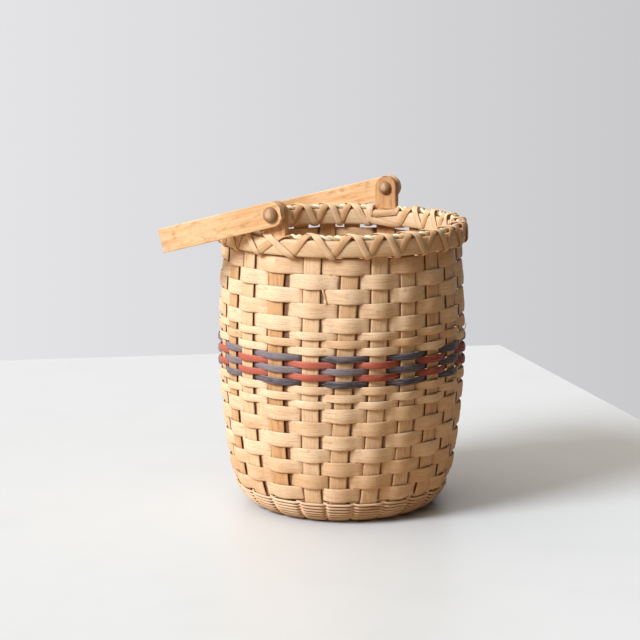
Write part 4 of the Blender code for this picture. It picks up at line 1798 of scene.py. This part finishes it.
@dataclass
class Strays(SubAssembly):
    """Small irregular ends of hand work: frayed grass, a tucked end and a splinter."""

    fray_seed: int = 11
    fray_place: float = math.radians(152.0)
    fray_spread: float = math.radians(11.0)
    fray_root: float = 271.5 * MM
    fray_depth: float = 1.5 * MM
    fray_count: int = 14
    fray_length: float = 12.0 * MM
    fray_rise: float = 0.75
    fray_droop: float = 0.30
    fray_curl: float = 1.4
    fray_shake: float = 0.3
    fray_tone: float = 0.5
    fray_width: float = 0.7 * MM
    fray_flatness: float = 0.6
    fray_taper: tuple[float, float] = (0.6, 0.5)
    steps: int = 6
    ends: tuple[Sliver, ...] = (
        Sliver("tucked_weaver_end", (18.7, 225.6 * MM, 0.9 * MM),
               (20.6, 212.4 * MM, 0.9 * MM), 1.5 * MM),
        Sliver("weaver_splinter", (117.4, 167.5 * MM, 2.6 * MM),
               (122.5, 172.0 * MM, 5.2 * MM), 1.0 * MM),
    )

    def fibre(self, rng: random.Random) -> list[Station]:
        """Stations of one fibre of grass that has come loose.

        Args:
            rng: what draws its place, its lean and its bends.

        Returns:
            The stations from its root to its tip.
        """
        angle = self.fray_place + self.fray_spread * rng.uniform(-1, 1)
        lean = rng.uniform(-1, 1)
        root = radial(angle) * (self.wall.top_radius + self.fray_depth * rng.uniform(-1, 1))
        root += UP * self.fray_root
        stations = []
        for step in range(self.steps + 1):
            share = step / self.steps
            rise = self.fray_length * (self.fray_rise * share - self.fray_droop * share ** 2)
            shake = rng.uniform(-self.fray_shake, self.fray_shake) * MM
            stations.append(Station(
                root + tangent(angle) * (lean * self.fray_length * share ** self.fray_curl)
                + radial(angle) * shake + UP * rise,
                radial(angle), self.fray_width * (1 - self.fray_taper[0] * share),
                self.fray_flatness * self.fray_width * (1 - self.fray_taper[1] * share)))
        return stations

    def fray(self) -> bpy.types.Object:
        """Make the fibres that stand out of the rope at the right of the view.

        Returns:
            All the fibres as one piece.
        """
        rng = random.Random(self.fray_seed)
        mesh = StripMesh()
        for number in range(self.fray_count):
            stations = self.fibre(rng)
            tone = rng.uniform(-self.fray_tone, self.fray_tone)
            mesh.sweep(stations, Section.ROUND, tone=tone, start=number)
        return mesh.piece("frayed_grass_ends", SEAGRASS, Body.BASKET, [])

    def sliver(self, sliver: Sliver) -> bpy.types.Object:
        """Make one stray end of weaver.

        Args:
            sliver: where it runs and how thick it is.

        Returns:
            The finished end.
        """
        stations = []
        for step in range(self.steps + 1):
            degrees, height, off = (start + (end - start) * step / self.steps
                                    for start, end in zip(sliver.start, sliver.end))
            out = radial(math.radians(degrees))
            stations.append(Station(out * (self.wall.radius(height) + off) + UP * height,
                                    out, sliver.width, sliver.depth))
        mesh = StripMesh()
        mesh.sweep(stations, Section.FLAT, tone=sliver.tone)
        return mesh.piece(sliver.name, WEAVER, Body.BASKET, [])

    def build(self) -> list[bpy.types.Object]:
        """Make the frayed grass, the tucked end and the splinter."""
        return [self.fray(), *(self.sliver(end) for end in self.ends)]


@dataclass
class Ears(SubAssembly):
    """Two wooden ears, let into the weave as stakes, that carry the pegs."""

    width: float = 23.0 * MM
    inner: float = 1.4 * MM
    outer: float = 5.6 * MM
    seat: float = 271.0 * MM
    above_seat: float = 8.0 * MM
    below_pivot: float = 6.0 * MM
    tail_overlap: float = 4.0 * MM
    tail_foot: float = 33.0 * MM
    tail_width: float = 20.0 * MM
    tail_widens: float = 226.0 * MM
    tail_widening: float = 26.0 * MM
    tail_steps: int = 44
    rounding: float = 0.8 * MM
    end_steps: int = 12

    def plane(self) -> float:
        """Distance of the plane that the ear stands on from the X axis."""
        return math.sqrt(self.wall.top_radius ** 2 - self.wall.ear_offset ** 2)

    def head(self, side: Side) -> bpy.types.Mesh:
        """Make the thick head with its round top and peg hole.

        Args:
            side: which of the two ears it is.

        Returns:
            The head's mesh.
        """
        wall = self.wall
        middle = Vector((-wall.ear_offset,
                         side.value * (self.plane() + (self.outer - self.inner) / 2), 0.0))
        thickness = self.outer + self.inner
        stations = [Station(middle + UP * height, ACROSS, self.width, thickness)
                    for height in (self.seat, self.seat + self.above_seat,
                                   wall.pivot - self.below_pivot)]
        stations += round_end(middle + UP * wall.pivot, UP, self.width, thickness,
                              self.end_steps)
        return board_mesh(stations, Vector((-wall.ear_offset, 0.0, wall.pivot)),
                          wall.peg_hole, self.rounding)

    def tail(self, side: Side) -> StripMesh:
        """Make the thin tail that is woven in as a stake, wider at the rim.

        Args:
            side: which of the two ears it is.

        Returns:
            The tail's mesh, still open to work.
        """
        wall, stations = self.wall, []
        stake = 0 if side is Side.FRONT else wall.stake_count // 2
        top = self.seat + self.tail_overlap
        for index in range(self.tail_steps + 1):
            height = top + (self.tail_foot - top) * index / self.tail_steps
            angle = wall.stake_angle(stake, min(height, wall.hoop_top))
            widen = smooth_step(height, self.tail_widens, self.tail_widening)
            width = wall.stake_width + (self.tail_width - wall.stake_width) * widen
            stations.append(Station(radial(angle) * wall.radius(height) + UP * height,
                                    tangent(angle), width, wall.stake_thickness))
        mesh = StripMesh()
        mesh.sweep(stations, Section.FLAT, start=Grain.EAR + stake)
        return mesh

    def build(self) -> list[bpy.types.Object]:
        """Make both ears.

        Returns:
            Head and tail of each.
        """
        pieces = []
        for side in Side:
            node = f"ear_{side.name.lower()}"
            head = place_piece(f"{node}_head", self.head(side), SHADED_SAWN_WOOD, Body.BASKET,
                               [node])
            add_weighted_normals(head)
            tail = self.tail(side).piece(f"{node}_tail", SHADED_SAWN_WOOD, Body.BASKET, [])
            pieces += [head, tail]
        return pieces


@dataclass
class Pegs(SubAssembly):
    """Turned pegs with a domed head outside each arm and a domed button inside.

    The lip is the radius and height of a dome's last two points, as shares of its own.
    """

    radius: float = 3.5 * MM
    head_radius: float = 7.3 * MM
    head_height: float = 5.0 * MM
    head_seat: float = 123.06 * MM
    button_radius: float = 6.6 * MM
    button_height: float = 5.0 * MM
    button_seat: float = 108.96 * MM
    in_button: float = 2.9 * MM
    socket_gap: float = 0.3 * MM
    socket_depth: float = 3.6 * MM
    shoulder: float = 0.92
    fullness: float = 1.1
    lip_height: float = 0.1
    lip: tuple[tuple[float, float], ...] = ((0.985, 0.035), (0.95, 0.0))
    dome_steps: int = 10
    steps: int = 40

    def dome(self, radius: float, height: float) -> list[tuple[float, float]]:
        """Profile of a dome from its pole to its softly rounded rim.

        Args:
            radius: the dome's radius.
            height: the dome's height.

        Returns:
            Radius and height of each point.
        """
        points = []
        for step in range(self.dome_steps + 1):
            turn = math.pi / 2 * step / self.dome_steps
            fullness = (1 - self.lip_height) * math.cos(turn) ** self.fullness
            points.append((radius * math.sin(turn) ** self.shoulder,
                           height * (self.lip_height + fullness)))
        return points + [(radius * across, height * up) for across, up in self.lip]

    def turned(self, name: str, node: str, profile: Sequence[tuple[float, float]],
               seat: float, facing: int) -> bpy.types.Object:
        """Turn one body and put it on the pivot line.

        Args:
            name: the piece's name.
            node: the node that it stands for.
            profile: radius and height from pole to pole.
            seat: its place along Y.
            facing: 1 where its dome points along Y, -1 where it points the other way.

        Returns:
            The finished piece.
        """
        place = Vector((-self.wall.ear_offset, seat, self.wall.pivot))
        turn = Matrix.Translation(place) @ Matrix.Rotation(-facing * math.pi / 2, 4, "X")
        return place_piece(name, turned_mesh(profile, self.steps, turn), TURNED, Body.BASKET,
                           [node])

    def build(self) -> list[bpy.types.Object]:
        """Make both pegs and both buttons.

        Returns:
            Peg and button of each ear.
        """
        length = self.head_seat - self.button_seat + self.in_button
        socket = self.radius + self.socket_gap
        peg = self.dome(self.head_radius, self.head_height) + [
            (self.radius, 0.0), (self.radius, -length), (0.0, -length)]
        button = self.dome(self.button_radius, self.button_height) + [
            (socket, 0.0), (socket, self.socket_depth), (0.0, self.socket_depth)]
        pieces = []
        for side in Side:
            name, out = side.name.lower(), side.value
            pieces.append(self.turned(f"turned_peg_{name}", f"peg_{name}", peg,
                                      out * self.head_seat, out))
            pieces.append(self.turned(f"peg_button_{name}", f"peg_cap_{name}", button,
                                      out * self.button_seat, -out))
        return pieces


@dataclass
class Handle(SubAssembly):
    """The bent wood handle, fallen towards -X until its arms meet the lashed rim."""

    width: float = 23.0 * MM
    thickness: float = 6.0 * MM
    length: float = 160.0 * MM
    corner: float = 85.0 * MM
    arm: float = 119.66 * MM
    arm_stations: tuple[float, ...] = (8 * MM, 30 * MM, 52 * MM)
    drop: float = math.radians(15.30)
    rounding: float = 0.9 * MM
    end_steps: int = 12
    corner_steps: int = 28

    def stations(self) -> list[Station]:
        """Follow the handle as it stands upright, about the pivot.

        Returns:
            The stations from one arm's end to the other's.
        """
        start = Vector((0.0, -self.arm, 0.0))
        half = round_end(start, -UP, self.width, self.thickness, self.end_steps)[::-1]
        half += [Station(start + UP * rise, ACROSS, self.width, self.thickness)
                 for rise in self.arm_stations]
        for step in range(self.corner_steps + 1):
            turn = math.pi / 2 * step / self.corner_steps
            place = Vector((0.0, self.corner * (1 - math.cos(turn)) - self.arm,
                            self.length - self.corner * (1 - math.sin(turn))))
            half.append(Station(place, ACROSS, self.width, self.thickness))
        mirror = Vector((1.0, -1.0, 1.0))
        return half + [replace(station, place=station.place * mirror)
                       for station in reversed(half)]

    def build(self) -> list[bpy.types.Object]:
        """Make the handle in its resting place.

        Returns:
            The handle alone.
        """
        turn = (Matrix.Translation((-self.wall.ear_offset, 0.0, self.wall.pivot))
                @ Matrix.Rotation(-(math.pi / 2 + self.drop), 4, "Y"))
        mesh = board_mesh(self.stations(), Vector((0.0, 0.0, 0.0)), self.wall.peg_hole,
                          self.rounding, turn)
        handle = place_piece("bent_handle", mesh, BENT_WOOD, Body.HANDLE, ["handle"])
        add_weighted_normals(handle)
        return [handle]


@dataclass
class Studio:
    """White table before a pale wall, soft light from the left and the camera.

    The ramps say how far towards their direction the fill light and the wall's shade grow.
    """

    eye: tuple[float, float, float] = (0.9045, -1.7308, 0.5412)
    target: tuple[float, float, float] = (-0.0193, -0.0087, 0.1765)
    lens: float = 116.3
    wall_colour: str = "e6e6e8"
    wall_shade: str = "c6c6c8"
    key_strength: float = 3.75
    key_colour: str = "f2f6ff"
    key_spread: float = math.radians(22)
    key_from: tuple[float, float, float] = (-0.39, -0.71, 0.59)
    fill_level: float = 1.3
    fill_colour: str = "fff1e0"
    fill_from: tuple[float, float, float] = (-0.42, -0.22, 0.88)
    fill_ramp: tuple[float, float] = (0.3, 1.0)
    shade_towards: tuple[float, float, float] = (0.886, 0.463, 0.0)
    shade_ramp: tuple[float, float] = (-0.25, 0.25)
    table_corners: tuple[tuple[float, float], ...] = (
        (-2.08, -0.67), (-0.168, 0.778), (0.138, -2.98), (2.05, -1.53))
    table_thickness: float = 0.03
    sensor: float = 36.0

    def ramp(self, tree: Tree, towards: tuple[float, float, float],
             between: tuple[float, float], top: float) -> Socket:
        """Grow a value over the surroundings, towards one direction.

        Args:
            tree: the world's node tree.
            towards: the direction in which it grows.
            between: how far that way the look goes where it starts and where it ends.
            top: the value at the end.

        Returns:
            The socket of the value.
        """
        way = add_node(tree, "ShaderNodeTexCoord")
        along = add_node(tree, "ShaderNodeVectorMath", {
            "operation": "DOT_PRODUCT", 1: towards}, {0: way.outputs["Generated"]})
        return add_node(tree, "ShaderNodeMapRange", {
            "interpolation_type": "SMOOTHSTEP", 1: between[0], 2: between[1], 3: 0.0, 4: top},
            {0: along.outputs["Value"]}).outputs[0]

    def world(self) -> None:
        """Plain pale surroundings, the wall's colour where they are seen."""
        world = bpy.data.worlds.new("studio")
        world.use_nodes = True
        bpy.context.scene.world = world
        tree = world.node_tree
        light = tree.nodes["Background"]
        light.inputs["Color"].default_value = linear_colour(self.fill_colour)
        tree.links.new(self.ramp(tree, self.fill_from, self.fill_ramp, self.fill_level),
                       light.inputs["Strength"])
        shade = add_node(tree, "ShaderNodeMix", {
            "data_type": "RGBA", 6: linear_colour(self.wall_colour),
            7: linear_colour(self.wall_shade)},
            {0: self.ramp(tree, self.shade_towards, self.shade_ramp, 1.0)})
        backdrop = add_node(tree, "ShaderNodeBackground", {"Strength": 1.0},
                            {"Color": shade.outputs[2]})
        mixed = add_node(tree, "ShaderNodeMixShader", {},
                         {0: seen_rays(tree), 1: light.outputs[0], 2: backdrop.outputs[0]})
        tree.links.new(mixed.outputs[0], tree.nodes["World Output"].inputs["Surface"])

    def table(self) -> None:
        """The table's top, with its far corner where the view shows it."""
        bm = bmesh.new()
        verts = bmesh.ops.create_grid(bm, x_segments=1, y_segments=1, size=1.0)["verts"]
        for vert, corner in zip(verts, self.table_corners):
            vert.co = (*corner, 0.0)
        grown = bmesh.ops.extrude_face_region(bm, geom=bm.faces[:])["geom"]
        bmesh.ops.translate(bm, vec=(0.0, 0.0, -self.table_thickness),
                            verts=[item for item in grown
                                   if isinstance(item, bmesh.types.BMVert)])
        bmesh.ops.recalc_face_normals(bm, faces=bm.faces)
        mesh = finished_mesh("table_top", bm)
        mesh.materials.append(LACQUER.material())
        linked_object("table_top", mesh)

    def lights(self) -> None:
        """A soft key from the left, in front of the basket."""
        light = bpy.data.lights.new("window", "SUN")
        light.energy = self.key_strength
        light.color = linear_colour(self.key_colour)[:3]
        light.angle = self.key_spread
        lamp = linked_object("window", light)
        lamp.location = self.key_from
        lamp.rotation_mode = "QUATERNION"
        lamp.rotation_quaternion = (-Vector(self.key_from)).to_track_quat("-Z", "Y")

    def camera(self) -> None:
        """The camera at the photograph's angle."""
        data = bpy.data.cameras.new("camera")
        data.lens = self.lens
        data.sensor_width = self.sensor
        made = linked_object("camera", data)
        made.location = self.eye
        made.rotation_mode = "QUATERNION"
        made.rotation_quaternion = (Vector(self.target) - Vector(self.eye)).to_track_quat(
            "-Z", "Y")
        bpy.context.scene.camera = made

    def build(self) -> None:
        """Set the whole stage."""
        bpy.context.scene.view_settings.view_transform = "Standard"
        self.world()
        self.table()
        self.lights()
        self.camera()


def main() -> None:
    """Build and dress every sub-assembly, report its pieces and set the stage."""
    logging.basicConfig(level=logging.INFO, format="%(name)s: %(message)s")
    for assembly in (Stakes(), Weave(), Twining(), Rim(), Strays(), Ears(), Pegs(), Handle()):
        for piece in assembly.build():
            LOG.info("%s: %s, %d faces", type(assembly).__name__, piece.name,
                     len(piece.data.polygons))
    Studio().build()


if __name__ == "__main__":
    main()
